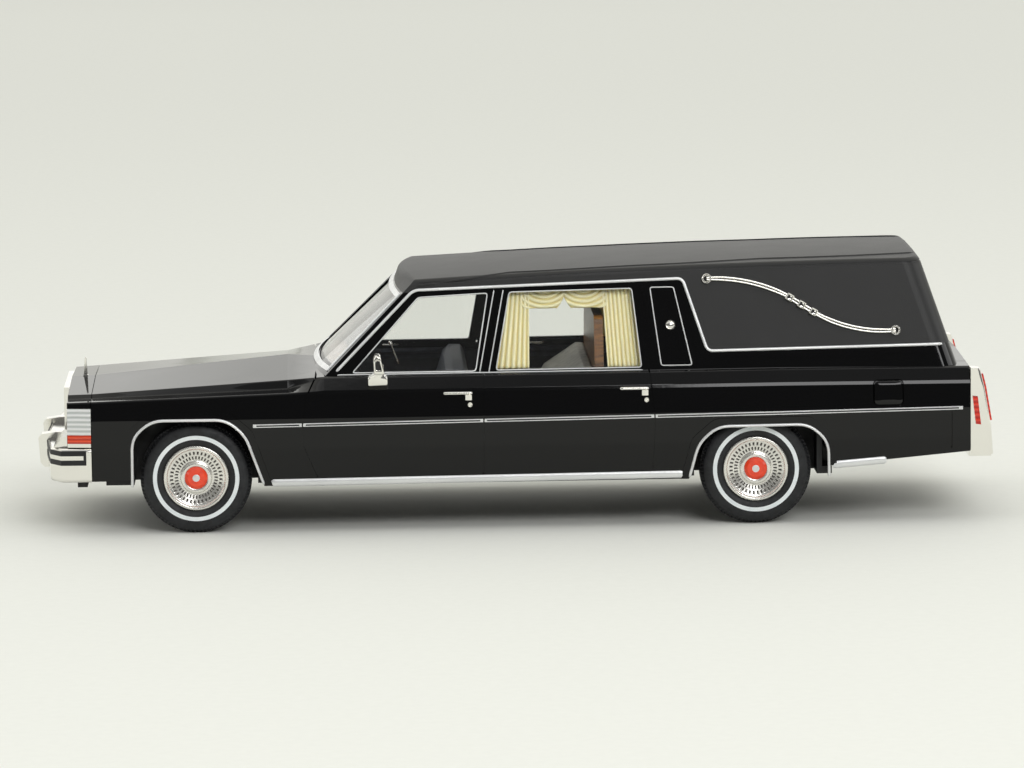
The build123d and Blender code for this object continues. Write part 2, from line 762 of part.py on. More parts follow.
# Landau bars: two curved arms of twin round strands, with an eye at each end and links between them
strand_radius = 0.32
strand_offset = 0.26
eye_radius = 0.8
eye_height = 0.6
bar_seat = 0.15
eye_hole_radius = 0.35
link_size = 1.1
link_height = 0.75
bar_front_eye = (door_rear_x - 8.4, 37.3)
bar_front_bend = (door_rear_x - 15.2, 36.6)
bar_link_front = (door_rear_x - 20.6, 34.6)
bar_link_rear = (door_rear_x - 25.1, 31.8)
bar_rear_bend = (door_rear_x - 31.0, 29.6)
bar_rear_eye = (door_rear_x - 37.1, 29.2)
side_taper = (cabin_side_y - cabin_front_y) / (windscreen_corner_x - cabin_rear_x)
bar_foot_y = cabin_front_y + side_taper * (windscreen_corner_x - bar_link_front[0])
slope = hypot(1.0, side_lean)
bar_plane = Plane(
    origin=(bar_link_front[0], bar_foot_y - side_lean * (bar_link_front[1] - cabin_foot_z), bar_link_front[1]),
    x_dir=(-1, side_taper, 0),
    z_dir=(side_taper, 1, side_lean),
)


def on_roof_side(point):
    """A place on the roof's side, given as (x, z), in the coordinates of the bars' own plane."""
    return (bar_link_front[0] - point[0], (point[1] - bar_link_front[1]) * slope)


BAR_ARMS = [(bar_front_eye, bar_front_bend, bar_link_front), (bar_link_rear, bar_rear_bend, bar_rear_eye)]
link_start = Vector(*on_roof_side(bar_link_front))
link_run = Vector(*on_roof_side(bar_link_rear)) - link_start
link_turn = (0, 0, degrees(atan2(link_run.Y, link_run.X)))
seat_plane = bar_plane.offset(-bar_seat)
with BuildPart() as bar_half:
    for start, bend, end in BAR_ARMS:
        with BuildLine(bar_plane) as arm:
            ThreePointArc(on_roof_side(start), on_roof_side(bend), on_roof_side(end))
        arm_line = arm.line
        with BuildSketch(Plane(origin=arm_line @ 0, x_dir=bar_plane.z_dir, z_dir=arm_line % 0)):
            strand_height = strand_radius - bar_seat
            with Locations((strand_height, strand_offset), (strand_height, -strand_offset)):
                RegularPolygon(strand_radius, 6)
        sweep(path=arm_line)
    with BuildSketch(seat_plane):
        with Locations(on_roof_side(bar_front_eye), on_roof_side(bar_rear_eye)):
            Circle(eye_radius)
    extrude(amount=bar_seat + eye_height)
    with BuildSketch(seat_plane):
        with Locations(*[Location(link_start + link_run * share, link_turn) for share in (0.0, 0.5, 1.0)]):
            Rectangle(link_size, link_size + 0.3)
    extrude(amount=bar_seat + link_height)
    with BuildSketch(seat_plane):
        with Locations(Location(link_start + link_run * 0.5, link_turn)):
            Rectangle(link_run.length, link_size - 0.5)
    extrude(amount=bar_seat + eye_height)
    with BuildSketch(bar_plane.offset(strand_radius)):
        with Locations(on_roof_side(bar_front_eye), on_roof_side(bar_rear_eye)):
            Circle(eye_hole_radius)
    extrude(amount=eye_height, mode=Mode.SUBTRACT)
    add(cabin_outer, mode=Mode.SUBTRACT)
with BuildPart() as landau_bars:
    add(both_sides(bar_half.part))
landau_bars.part.label = "landau_bars"
export_step(landau_bars.part, "parts/landau_bars.step")

# Lamps of the tail
lens_pane = 0.3
lens_low_z = 15.4
lens_high_z = 22.6
lens_inset = 0.7
with BuildPart() as tail_lamps:
    for side in (1, -1):
        low_y, high_y = sorted((side * (housing_inner_y + lens_inset), side * (housing_outer_y - lens_inset)))
        add(block((tail_x - 1.0, low_y, lens_low_z), (tail_x + 4.0, high_y, lens_high_z)))
    add(side_prism(housing_outline), mode=Mode.SUBTRACT)
    add(side_prism([(x - lens_pane, z) for x, z in housing_outline]), mode=Mode.INTERSECT)
tail_lamps.part.label = "tail_lamps"
export_step(tail_lamps.part, "parts/tail_lamps.step")

marker_outline = [(tail_x + 3.2, 19.3), (tail_x + 2.4, 19.2), (tail_x + 1.9, 14.9), (tail_x + 2.7, 15.0)]
with BuildPart() as rear_markers:
    add(both_sides(side_prism(marker_outline, housing_outer_y, housing_outer_y + lens_pane)))
rear_markers.part.label = "rear_markers"
export_step(rear_markers.part, "parts/rear_markers.step")

# Pull handle and hinges of the rear door
pull_y = 3.2 - rear_door_half_width
pull_z = 19.6
with BuildPart() as rear_door_fittings:
    with BuildSketch(Plane.YZ.offset(body_rear_x)):
        with Locations((pull_y, pull_z)):
            Rectangle(3.8, 0.8)
        with Locations((pull_y - 1.2, pull_z - 0.9)):
            Rectangle(1.2, 1.2)
        with Locations((rear_door_half_width, 16.6), (rear_door_half_width, 21.8)):
            Rectangle(1.5, 1.7)
    extrude(amount=-0.5)
rear_door_fittings.part.label = "rear_door_fittings"
export_step(rear_door_fittings.part, "parts/rear_door_fittings.step")

# Door handles. Columns: x of the rear end of the bar, z of its middle
HANDLES = [(door_middle_x + 1.4, 21.1), (door_rear_x + 0.75, 21.4)]
handle_length = 4.6
handle_height = 0.6
hook_length = 1.3
lock_radius = 0.45
handle_foot_y = waist_half_width - 0.75
handle_proud = 0.85
with BuildPart() as handle_half:
    for rear_x, middle_z in HANDLES:
        with BuildSketch(Plane.XZ.offset(-handle_foot_y)):
            with Locations((rear_x + handle_length / 2, middle_z)):
                Rectangle(handle_length, handle_height)
            with Locations((rear_x + 0.1 + hook_length / 2, middle_z - 0.7)):
                Rectangle(hook_length, 0.9)
            with Locations((rear_x + 0.5, middle_z - 1.75)):
                Circle(lock_radius)
        extrude(amount=-handle_proud)
with BuildPart() as door_handles:
    add(both_sides(handle_half.part))
    add(body_outer, mode=Mode.SUBTRACT)
door_handles.part.label = "door_handles"
export_step(door_handles.part, "parts/door_handles.step")

# Door mirrors: a foot on the shelf below the window and a head that stands out from it
mirror_x = door_front_x - 11.9
mirror_low_z = 24.5
mirror_high_z = 27.4
mirror_inner_y = waist_half_width - 0.6
mirror_outer_y = waist_half_width + 2.8
mirror_foot_y = waist_half_width - 2.6
head_outline = [
    (mirror_x - 0.8, mirror_low_z),
    (mirror_x + 0.0, mirror_high_z - 0.1),
    (mirror_x + 0.7, mirror_high_z),
    (mirror_x + 1.0, mirror_high_z - 0.7),
    (mirror_x + 1.0, mirror_low_z),
]
pocket_outline = [
    (mirror_x + 0.2, mirror_low_z + 1.2),
    (mirror_x + 0.3, mirror_high_z - 0.6),
    (mirror_x + 0.7, mirror_high_z - 0.6),
    (mirror_x + 0.7, mirror_low_z + 1.2),
]
foot_outline = [
    (mirror_x - 1.2, 22.6),
    (mirror_x - 1.2, 23.6),
    (mirror_x - 0.6, 24.2),
    (mirror_x - 0.6, 25.6),
    (mirror_x + 0.6, 25.6),
    (mirror_x + 0.8, 24.2),
    (mirror_x + 1.9, 23.7),
    (mirror_x + 1.9, 22.4),
]
with BuildPart() as mirror_half:
    add(side_prism(head_outline, mirror_inner_y, mirror_outer_y))
    add(side_prism(foot_outline, mirror_foot_y, mirror_foot_y + 2.8))
    add(side_prism(pocket_outline, mirror_outer_y - 0.4, reach), mode=Mode.SUBTRACT)
with BuildPart() as door_mirrors:
    add(both_sides(mirror_half.part))
    add(body_outer, mode=Mode.SUBTRACT)
    add(cabin_form(trim_height + 0.25), mode=Mode.SUBTRACT)
    for piece in (belt_mouldings, window_frames, roof_trim):
        add(piece.part, mode=Mode.SUBTRACT)
door_mirrors.part.label = "door_mirrors"
export_step(door_mirrors.part, "parts/door_mirrors.step")

# Base plate with the axle cradles and the cast reliefs of the running gear
base_low_z = 7.5
base_high_z = 8.6
base_half_width = waist_half_width - 1.3 - body_wall - seat_gap
base_front_x = body_front_x - 2.0
base_rear_x = body_rear_x + 2.0
well_half_length = tyre_radius + 1.7
base_step_x = rear_axle_x - well_half_length - 0.5
tail_floor_z = 12.3
cradle_half_length = 2.0
cradle_half_width = well_inner_y - well_wall - seat_gap
cradle_high_z = axle_radius + tyre_radius + 1.0
screw_x = [front_axle_x - 9.0, rear_axle_x + 9.0]
screw_hole_radius = 0.85
screw_hole_depth = 4.0
post_radius = 2.0
post_high_z = 12.0
foot_half = 2.6
relief_z = base_low_z - 0.5
relief_gap = foot_half + 0.6
rail_y = 9.5
pipe_y = -6.2
# Reliefs below the plate. Columns: low x, high x, middle y, width
RELIEFS = [
    (rear_axle_x + 2.5, front_axle_x - 2.5, rail_y, 1.2),
    (rear_axle_x + 2.5, front_axle_x - 2.5, -rail_y, 1.2),
    (rear_axle_x + 2.5, front_axle_x - 14.0, pipe_y, 1.0),
    (door_middle_x - 13.0, door_middle_x - 2.0, pipe_y, 3.2),
    (screw_x[1] + relief_gap, screw_x[0] - relief_gap, 0.0, 2.2),
    (screw_x[0] - relief_gap - 11.0, screw_x[0] - relief_gap, 0.0, 5.0),
    (front_axle_x + 3.0, front_axle_x + 11.0, 0.0, 8.0),
]
with BuildPart() as chassis_base:
    add(block((base_rear_x, -base_half_width, base_low_z), (base_front_x, base_half_width, base_high_z)))
    below_tail = block((base_rear_x - 1.0, -reach, 0.0), (base_step_x - 1.0, reach, tail_floor_z - 1.5))
    add(below_tail, mode=Mode.SUBTRACT)
    add(block((base_step_x - 1.0, -well_inner_y, base_low_z), (base_step_x, well_inner_y, tail_floor_z)))
    tail_floor_low = (base_rear_x, -base_half_width, tail_floor_z - 1.0)
    add(block(tail_floor_low, (base_step_x, base_half_width, tail_floor_z)))
    add(block((base_rear_x + 4.0, -11.0, tail_floor_z - 2.4), (base_step_x - 3.0, 11.0, tail_floor_z - 1.0)))
    for low_x, high_x, middle_y, width in RELIEFS:
        add(block((low_x, middle_y - width / 2, relief_z), (high_x, middle_y + width / 2, base_low_z)))
    add(block((base_front_x, -16.0, base_low_z), (header_x - 1.2, 16.0, bumper_low_z - seat_gap)))
    add(block((header_x - 2.7, -16.0, 6.7), (header_x - 1.2, 16.0, base_low_z)))
    for axle_x in (front_axle_x, rear_axle_x):
        for side in (1, -1):
            low_y, high_y = sorted((side * well_inner_y, side * reach))
            add(
                block((axle_x - well_half_length, low_y, 0.0), (axle_x + well_half_length, high_y, 20.0)),
                mode=Mode.SUBTRACT,
            )
        low_x, high_x = axle_x - cradle_half_length, axle_x + cradle_half_length
        add(block((low_x, -cradle_half_width, relief_z), (high_x, cradle_half_width, cradle_high_z)))
        with BuildSketch(Plane.XZ.offset(-reach)):
            with Locations((axle_x, tyre_radius)):
                Circle(axle_radius + axle_running_gap)
        extrude(amount=2 * reach, mode=Mode.SUBTRACT)
    for x in screw_x:
        add(block((x - foot_half, -foot_half, 0.0), (x + foot_half, foot_half, 20.0)), mode=Mode.SUBTRACT)
chassis_base.part.label = "chassis_base"
export_step(chassis_base.part, "parts/chassis_base.step")

with BuildPart() as plinth_posts:
    with BuildSketch(Plane.XY.offset(base_low_z)):
        with Locations(*[(x, 0) for x in screw_x]):
            Rectangle(2 * foot_half, 2 * foot_half)
    extrude(amount=base_high_z - base_low_z)
    with BuildSketch(Plane.XY.offset(base_high_z)):
        with Locations(*[(x, 0) for x in screw_x]):
            Circle(post_radius)
    extrude(amount=post_high_z - base_high_z)
    with BuildSketch(Plane.XY.offset(base_low_z)):
        with Locations(*[(x, 0) for x in screw_x]):
            Circle(screw_hole_radius)
    extrude(amount=screw_hole_depth, mode=Mode.SUBTRACT)
plinth_posts.part.label = "plinth_posts"
export_step(plinth_posts.part, "parts/plinth_posts.step")

# Inner wheel wells: a box round each wheel, open below and to the outside
bay_ledge_z = 18.6
well_outer_y = base_half_width
well_high_z = bay_ledge_z - seat_gap
with BuildPart() as well_half:
    for axle_x in (front_axle_x, rear_axle_x):
        low_x, high_x = axle_x - well_half_length, axle_x + well_half_length
        add(block((low_x, well_inner_y - well_wall, base_high_z), (high_x, well_inner_y, well_high_z)))
        add(block((low_x, well_inner_y, base_low_z), (high_x, well_outer_y, well_high_z)))
        pocket_low = (low_x + well_wall, well_inner_y, 0.0)
        add(block(pocket_low, (high_x - well_wall, reach, well_high_z - well_wall)), mode=Mode.SUBTRACT)
        slot_half = axle_radius + 0.4
        slot_low = (axle_x - slot_half, 0.0, 0.0)
        add(block(slot_low, (axle_x + slot_half, well_inner_y, tyre_radius + slot_half)), mode=Mode.SUBTRACT)
with BuildPart() as wheel_wells:
    add(both_sides(well_half.part))
wheel_wells.part.label = "wheel_wells"
export_step(wheel_wells.part, "parts/wheel_wells.step")

# Interior
tub_half_width = waist_half_width - 1.7 - 0.4 * body_wall - seat_gap
tub_front_x = door_front_x - 4.5
tub_rear_x = door_rear_x + 7.4
tub_high_z = 22.2
tub_wall = 0.9
bay_rear_x = cabin_rear_x + 2.0
bay_floor_z = 15.6
bay_wall = 1.0
bay_half_width = well_inner_y - well_wall - seat_gap
bay_ledge_half_width = tub_half_width - 0.4
with BuildPart() as interior_tub:
    add(block((tub_rear_x, -tub_half_width, base_high_z), (tub_front_x, tub_half_width, tub_high_z)))
    pocket_low = (tub_rear_x + tub_wall, -tub_half_width + tub_wall, base_high_z + tub_wall)
    pocket_high = (tub_front_x - tub_wall, tub_half_width - tub_wall, reach)
    add(block(pocket_low, pocket_high), mode=Mode.SUBTRACT)
interior_tub.part.label = "interior_tub"
export_step(interior_tub.part, "parts/interior_tub.step")

with BuildPart() as load_bay:
    add(block((bay_rear_x, -bay_ledge_half_width, bay_ledge_z), (tub_rear_x, bay_ledge_half_width, tub_high_z)))
    add(block((bay_rear_x, -bay_half_width, bay_floor_z - bay_wall), (tub_rear_x, bay_half_width, tub_high_z)))
    pocket_low = (bay_rear_x + bay_wall, -bay_half_width + bay_wall, bay_floor_z)
    add(block(pocket_low, (tub_rear_x - bay_wall, bay_half_width - bay_wall, reach)), mode=Mode.SUBTRACT)
load_bay.part.label = "load_bay"
export_step(load_bay.part, "parts/load_bay.step")

roller_radius = 0.5
roller_pitch = 9.0
roller_half_length = bay_half_width - 2.5
with BuildPart() as bay_rollers:
    for index in range(5):
        with BuildSketch(Plane.XZ.offset(-roller_half_length)):
            with Locations((tub_rear_x - (index + 1) * roller_pitch, bay_floor_z + roller_radius)):
                Circle(roller_radius)
        extrude(amount=2 * roller_half_length)
bay_rollers.part.label = "bay_rollers"
export_step(bay_rollers.part, "parts/bay_rollers.step")

partition_x = tub_rear_x + 0.1
partition_thickness = 1.4
partition_high_z = 31.8
partition_foot_y = cabin_inner_y(tub_high_z) - 0.15
partition_top_y = cabin_inner_y(partition_high_z) - 0.15
with BuildPart() as partition:
    with BuildSketch(Plane.YZ.offset(partition_x)):
        with BuildLine():
            Polyline(
                (-partition_foot_y, tub_high_z),
                (partition_foot_y, tub_high_z),
                (partition_top_y, partition_high_z),
                (-partition_top_y, partition_high_z),
                close=True,
            )
        make_face()
    extrude(amount=partition_thickness)
    fillet(partition.edges().filter_by(Axis.X).sort_by(Axis.Z)[-2:], radius=1.2)
partition.part.label = "partition"
export_step(partition.part, "parts/partition.step")

# Seats seen from the side. Columns: x from the front of the cushion, z above the floor of the tub
seat_floor_z = base_high_z + tub_wall
seat_round = 0.5
front_seat_outline = [
    (0.0, 0.0),
    (0.2, 4.6),
    (-1.0, 5.6),
    (-8.4, 5.2),
    (-10.8, 13.0),
    (-11.8, 13.9),
    (-13.6, 13.9),
    (-14.2, 13.0),
    (-13.4, 0.0),
]
rear_seat_length = 19.0
rear_seat_outline = [
    (0.0, 0.0),
    (0.2, 5.0),
    (-1.0, 5.8),
    (-9.6, 5.4),
    (-12.6, 10.6),
    (-17.6, 13.9),
    (-rear_seat_length, 13.9),
    (-rear_seat_length, 0.0),
]
front_seat_half_width = tub_half_width - tub_wall - 1.5
rear_seat_half_width = tub_half_width - tub_wall - 2.0
rear_seat_front_x = partition_x + partition_thickness + rear_seat_length
SEATS = [
    ("front_seat", door_middle_x + 16.0, front_seat_outline, front_seat_half_width),
    ("rear_seat", rear_seat_front_x, rear_seat_outline, rear_seat_half_width),
]
for name, seat_x, outline, half_width in SEATS:
    with BuildPart() as seat:
        add(side_prism([(seat_x + x, seat_floor_z + z) for x, z in outline], -half_width, half_width))
        fillet(seat.edges().filter_by(Axis.Y).sort_by(Axis.Z)[-2:], radius=seat_round)
    seat.part.label = name
    export_step(seat.part, f"parts/{name}.step")

dash_outline = [(0.0, -2.0), (0.0, 2.0), (3.4, 2.0), (3.4, 3.6)]
dash_outline += [(1.4, 4.6), (-1.2, 4.2), (-2.2, 1.4), (-1.6, -2.0)]
dash_z = 20.2
dash_half_width = tub_half_width - tub_wall
dash_space = cabin_form(-body_wall - seat_gap, foot_z=cabin_foot_z - 3.0)
dash_space += block((0.0, -dash_half_width, 0.0), (nose_x, dash_half_width, dash_z + 0.2))
with BuildPart() as dashboard:
    dash_points = [(tub_front_x - tub_wall + x, dash_z + z) for x, z in dash_outline]
    add(side_prism(dash_points, -dash_half_width, dash_half_width))
    add(dash_space, mode=Mode.INTERSECT)
    shell_space = body_form(-body_wall - seat_gap, foot_z=-1.0) + cabin_form(-body_wall, cabin_foot_z - 3.0)
    add(shell_space, mode=Mode.INTERSECT)
dashboard.part.label = "dashboard"
export_step(dashboard.part, "parts/dashboard.step")

wheel_y = 8.5
wheel_hub_x = door_front_x - 9.6
wheel_hub_z = 21.6
steering_ring_radius = 4.1
steering_rake = 28.0
column_plane = Plane(
    origin=(wheel_hub_x, wheel_y, wheel_hub_z),
    x_dir=(0, 1, 0),
    z_dir=Vector(1, 0, 0).rotate(Axis.Y, steering_rake),
)
with BuildPart() as steering_wheel:
    with BuildSketch(column_plane):
        Circle(steering_ring_radius)
        Circle(steering_ring_radius - 0.5, mode=Mode.SUBTRACT)
        Rectangle(2 * steering_ring_radius - 0.6, 0.8)
        Circle(0.9)
    extrude(amount=0.5)
    with BuildSketch(column_plane.offset(0.5)):
        Circle(0.5)
    extrude(amount=3.6)
    add(dashboard.part, mode=Mode.SUBTRACT)
steering_wheel.part.label = "steering_wheel"
export_step(steering_wheel.part, "parts/steering_wheel.step")

# Curtains inside the rear side windows: a gathered drape at each end and a swag across the top
curtain_gap = 0.15
curtain_thickness = 0.8
DRAPES = [
    [
        (door_middle_x - 3.4, 36.3),
        (door_middle_x - 8.4, 36.3),
        (door_middle_x - 7.2, 24.2),
        (door_middle_x - 1.4, 24.2),
    ],
    [
        (door_middle_x - 8.0, 36.3),
        (door_rear_x + 7.4, 36.5),
        (door_rear_x + 7.4, 33.6),
        (door_middle_x - 13.4, 35.0),
        (door_middle_x - 8.0, 33.6),
    ],
    [
        (door_rear_x + 7.6, 36.5),
        (door_rear_x + 2.2, 36.5),
        (door_rear_x + 1.2, 24.2),
        (door_rear_x + 6.9, 24.2),
    ],
]
curtain_skin = cabin_form(-body_wall - curtain_gap) - cabin_form(-body_wall - curtain_gap - curtain_thickness)
with BuildPart() as curtain_half:
    for outline in DRAPES:
        add(curtain_skin & side_prism(outline, 10.0, reach))
with BuildPart() as curtains:
    add(both_sides(curtain_half.part))
curtains.part.label = "curtains"
export_step(curtains.part, "parts/curtains.step")

# Wheels: the outer side is +z of each local plane. Profiles are (radius, offset) points
tyre_half = tyre_width / 2
side_ring_radius = 5.95
shoulder_radius = tyre_radius - 1.0
tyre_profile = [
    (tyre_seat_radius, 0.5 - tyre_half),
    (shoulder_radius, -tyre_half),
    (tyre_radius, 0.9 - tyre_half),
    (tyre_radius, tyre_half - 0.9),
    (shoulder_radius, tyre_half),
    (side_ring_radius, tyre_half),
    (tyre_seat_radius, tyre_half - 0.5),
]
with BuildPart() as tyre:
    with BuildSketch(Plane.XZ):
        with BuildLine():
            Polyline(*tyre_profile, close=True)
        make_face()
    revolve(axis=Axis.Z)

# Wheel cover: a rolled lip, a dished face with two rows of small slots and a raised hub ring
hub_radius = 1.7
hub_seat = 1.45
rim_back = -1.2
lip_offset = tyre_half - 0.2
dish_outer_radius = tyre_seat_radius - 0.7
dish_inner_radius = hub_radius + 0.9
dish_outer_offset = 2.0
dish_inner_offset = 1.5
rim_profile = [
    (axle_radius, rim_back),
    (tyre_seat_radius, rim_back),
    (tyre_seat_radius, lip_offset - 0.15),
    (tyre_seat_radius - 0.15, lip_offset),
    (tyre_seat_radius - 0.45, lip_offset),
    (dish_outer_radius, dish_outer_offset),
    (dish_inner_radius, dish_inner_offset),
    (hub_radius + 0.65, 1.9),
    (hub_radius, 1.9),
    (hub_radius, hub_seat),
    (axle_radius, hub_seat),
]
# Rows of slots in the dish. Columns: radius, how many, length along the radius, width, turn
SLOT_ROWS = [(3.77, 24, 0.5, 0.3, 0.0), (3.0, 24, 0.55, 0.24, 7.5)]
slot_floor = 1.2
with BuildPart() as rim:
    with BuildSketch(Plane.XZ):
        with BuildLine():
            Polyline(*rim_profile, close=True)
        make_face()
    revolve(axis=Axis.Z)
    with BuildSketch(Plane.XY.offset(slot_floor)):
        for radius, count, length, width, turn in SLOT_ROWS:
            with PolarLocations(radius, count, start_angle=turn):
                Rectangle(length, width)
    extrude(amount=tyre_half, mode=Mode.SUBTRACT)

button_radius = 0.75
with BuildPart() as hub_cap:
    with BuildSketch(Plane.XZ):
        with BuildLine():
            Polyline(
                (0.0, hub_seat),
                (hub_radius, hub_seat),
                (hub_radius, 1.85),
                (hub_radius - 0.4, 2.15),
                (button_radius, 2.15),
                (button_radius, 2.3),
                (0.0, 2.3),
                close=True,
            )
        make_face()
    revolve(axis=Axis.Z)

WHEELS = [
    ("front_left", front_axle_x, 1),
    ("front_right", front_axle_x, -1),
    ("rear_left", rear_axle_x, 1),
    ("rear_right", rear_axle_x, -1),
]
for place, x, side in WHEELS:
    spot = Plane(origin=(x, side * track_width / 2, tyre_radius), x_dir=(1, 0, 0), z_dir=(0, side, 0))
    for kind, piece in (("tyre", tyre), ("rim", rim), ("hub_cap", hub_cap)):
        placed = spot * piece.part
        placed.label = f"{kind}_{place}"
        export_step(placed, f"parts/{kind}_{place}.step")

axle_half_length = track_width / 2 + hub_seat
for name, x in (("front_axle", front_axle_x), ("rear_axle", rear_axle_x)):
    with BuildPart() as axle:
        with BuildSketch(Plane.XZ.offset(-axle_half_length)):
            with Locations((x, tyre_radius)):
                Circle(axle_radius)
        extrude(amount=2 * axle_half_length)
    axle.part.label = name
    export_step(axle.part, f"parts/{name}.step")
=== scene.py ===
"""Looks of a 1:43 scale model of a hearse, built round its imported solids.

The solids are the frame and stay where they are. This file gives them finishes, puts finer
pieces in place of the curtains, the wheels' tyres and covers, the bright lines, the door
fittings and the landau bars, and adds the stage. Places and sizes are millimetres of the model
in the frame of the solids, and MM turns them to metres.
"""

import math

import bmesh
import bpy
from mathutils import Matrix, Vector
from mathutils.bvhtree import BVHTree


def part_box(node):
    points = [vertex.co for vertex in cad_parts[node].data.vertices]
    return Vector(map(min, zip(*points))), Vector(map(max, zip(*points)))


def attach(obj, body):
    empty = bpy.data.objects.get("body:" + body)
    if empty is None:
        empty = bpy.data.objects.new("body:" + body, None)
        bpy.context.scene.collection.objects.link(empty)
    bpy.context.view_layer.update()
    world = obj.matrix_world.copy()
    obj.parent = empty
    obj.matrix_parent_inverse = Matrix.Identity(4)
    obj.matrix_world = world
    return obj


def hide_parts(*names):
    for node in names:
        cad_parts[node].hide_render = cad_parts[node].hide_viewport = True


bl_info = {
    "name": "Scale Model Hearse",
    "version": (1, 0, 0),
    "blender": (4, 5, 0),
    "location": "3D View > Sidebar > Hearse",
    "description": "Finishes, trim and stage for a 1:43 model of a hearse",
    "category": "Object",
}

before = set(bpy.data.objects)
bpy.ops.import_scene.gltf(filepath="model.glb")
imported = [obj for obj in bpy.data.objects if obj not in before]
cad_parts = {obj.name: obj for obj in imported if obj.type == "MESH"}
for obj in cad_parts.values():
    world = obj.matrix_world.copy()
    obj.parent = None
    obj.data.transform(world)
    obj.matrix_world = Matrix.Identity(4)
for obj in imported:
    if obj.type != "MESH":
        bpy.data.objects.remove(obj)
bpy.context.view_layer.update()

MM = 0.001
# Columns: direction of Y, name
SIDES = ((1, "left"), (-1, "right"))
WHEEL_PLACES = ("front_left", "front_right", "rear_left", "rear_right")
X_AXIS = Vector((1.0, 0.0, 0.0))
Y_AXIS = Vector((0.0, 1.0, 0.0))
Z_AXIS = Vector((0.0, 0.0, 1.0))
# The cabin's sides lean in by this much for each millimetre of height
CABIN_LEAN = 0.235
# A distance to the side that lies outside the model
OUTSIDE_MM = 60.0
# Places of a line that may miss a surface before the line is cut there
MOST_MISSED = 4


def box_mm(node):
    """Lowest and highest corner of a solid, in millimetres."""
    low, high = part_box(node)
    return low / MM, high / MM


def wheelset_of(place):
    """The body that carries a wheel."""
    return f"{place.split('_')[0]}_wheelset"


def wheel_part(node):
    """Lowest and highest corner, middle and side of the car of a wheel's part."""
    low, high = box_mm(node)
    middle = (low + high) / 2
    return low, high, middle, 1 if middle.y > 0 else -1


def linear(hex_colour):
    """An sRGB hex colour as linear red, green, blue and alpha."""
    parts = [int(hex_colour[i : i + 2], 16) / 255 for i in (1, 3, 5)]
    return (*[p / 12.92 if p <= 0.04045 else ((p + 0.055) / 1.055) ** 2.4 for p in parts], 1.0)


def add_node(tree, kind, settings=None, inputs=None):
    """Adds a node, sets its properties, and fills or links its inputs."""
    made = tree.nodes.new(kind)
    for name, value in (settings or {}).items():
        setattr(made, name, value)
    for name, value in (inputs or {}).items():
        if isinstance(value, bpy.types.NodeSocket):
            tree.links.new(value, made.inputs[name])
        else:
            made.inputs[name].default_value = value
    return made


def new_material(name, base, roughness, others):
    """A material with one Principled shader, and its tree and shader for what is added."""
    material = bpy.data.materials.new(name)
    material.use_nodes = True
    tree = material.node_tree
    tree.nodes.clear()
    principled = add_node(
        tree,
        "ShaderNodeBsdfPrincipled",
        inputs={"Base Color": linear(base), "Roughness": roughness, **others},
    )
    add_node(tree, "ShaderNodeOutputMaterial", inputs={"Surface": principled.outputs[0]})
    return material, tree, principled


def grain(tree, size_mm, detail=2.0, stretch=(1.0, 1.0, 1.0)):
    """Noise whose blobs are about size_mm across and which rides with the piece."""
    point = add_node(tree, "ShaderNodeTexCoord").outputs["Object"]
    placed = add_node(
        tree,
        "ShaderNodeMapping",
        inputs={"Vector": point, "Scale": [s / (size_mm * MM) for s in stretch]},
    )
    return add_node(
        tree,
        "ShaderNodeTexNoise",
        inputs={"Vector": placed.outputs[0], "Scale": 1.0, "Detail": detail, "Roughness": 0.5},
    ).outputs["Fac"]


def rib_wave(tree, direction, rib_mm, distortion=0.0):
    """Ribs a given distance apart, stacked along an axis."""
    point = add_node(tree, "ShaderNodeTexCoord").outputs["Object"]
    # The wave's bands repeat every pi / (10 x scale)
    scale = math.pi / (10 * rib_mm * MM)
    return add_node(
        tree,
        "ShaderNodeTexWave",
        settings={"bands_direction": direction},
        inputs={"Vector": point, "Scale": scale, "Distortion": distortion},
    ).outputs["Fac"]


def patches(tree, size_mm, detail=2.0, stretch=(1.0, 1.0, 1.0), low=0.0, high=1.0):
    """Soft patches about size_mm across, from low to high."""
    # Noise mostly lies between 0.3 and 0.7
    noise = grain(tree, size_mm, detail, stretch)
    return add_node(
        tree,
        "ShaderNodeMapRange",
        inputs={"Value": noise, "From Min": 0.3, "From Max": 0.7, "To Min": low, "To Max": high},
    ).outputs[0]


def vary_roughness(tree, shader, size_mm, low, high):
    """Makes a shader glossier and duller in soft patches."""
    tree.links.new(patches(tree, size_mm, low=low, high=high), shader.inputs["Roughness"])


def raise_surface(tree, shader, height, depth_mm):
    """Lifts a shader's surface by a given depth, from a height of 0 to 1."""
    bump = add_node(
        tree,
        "ShaderNodeBump",
        inputs={"Height": height, "Distance": depth_mm * MM, "Strength": 1.0},
    )
    tree.links.new(bump.outputs[0], shader.inputs["Normal"])


def mottle_base(tree, shader, factor, first, second):
    """Gives a shader a base colour that varies between two hex colours."""
    mixed = add_node(
        tree,
        "ShaderNodeMix",
        settings={"data_type": "RGBA"},
        inputs={0: factor, 6: linear(first), 7: linear(second)},
    )
    tree.links.new(mixed.outputs[2], shader.inputs["Base Color"])


def sprayed_black_lacquer(colour):
    """Cast zinc sprayed with black lacquer: deep black with a wet, slightly wavy shine."""
    material, tree, shader = new_material("sprayed_black_lacquer", colour, 0.12, {"IOR": 1.4})
    # Orange peel on a model this small is about 0.9 mm across and hardly deep
    raise_surface(tree, shader, grain(tree, 0.9, 1.0), 0.0012)
    vary_roughness(tree, shader, 9.0, 0.035, 0.07)
    return material


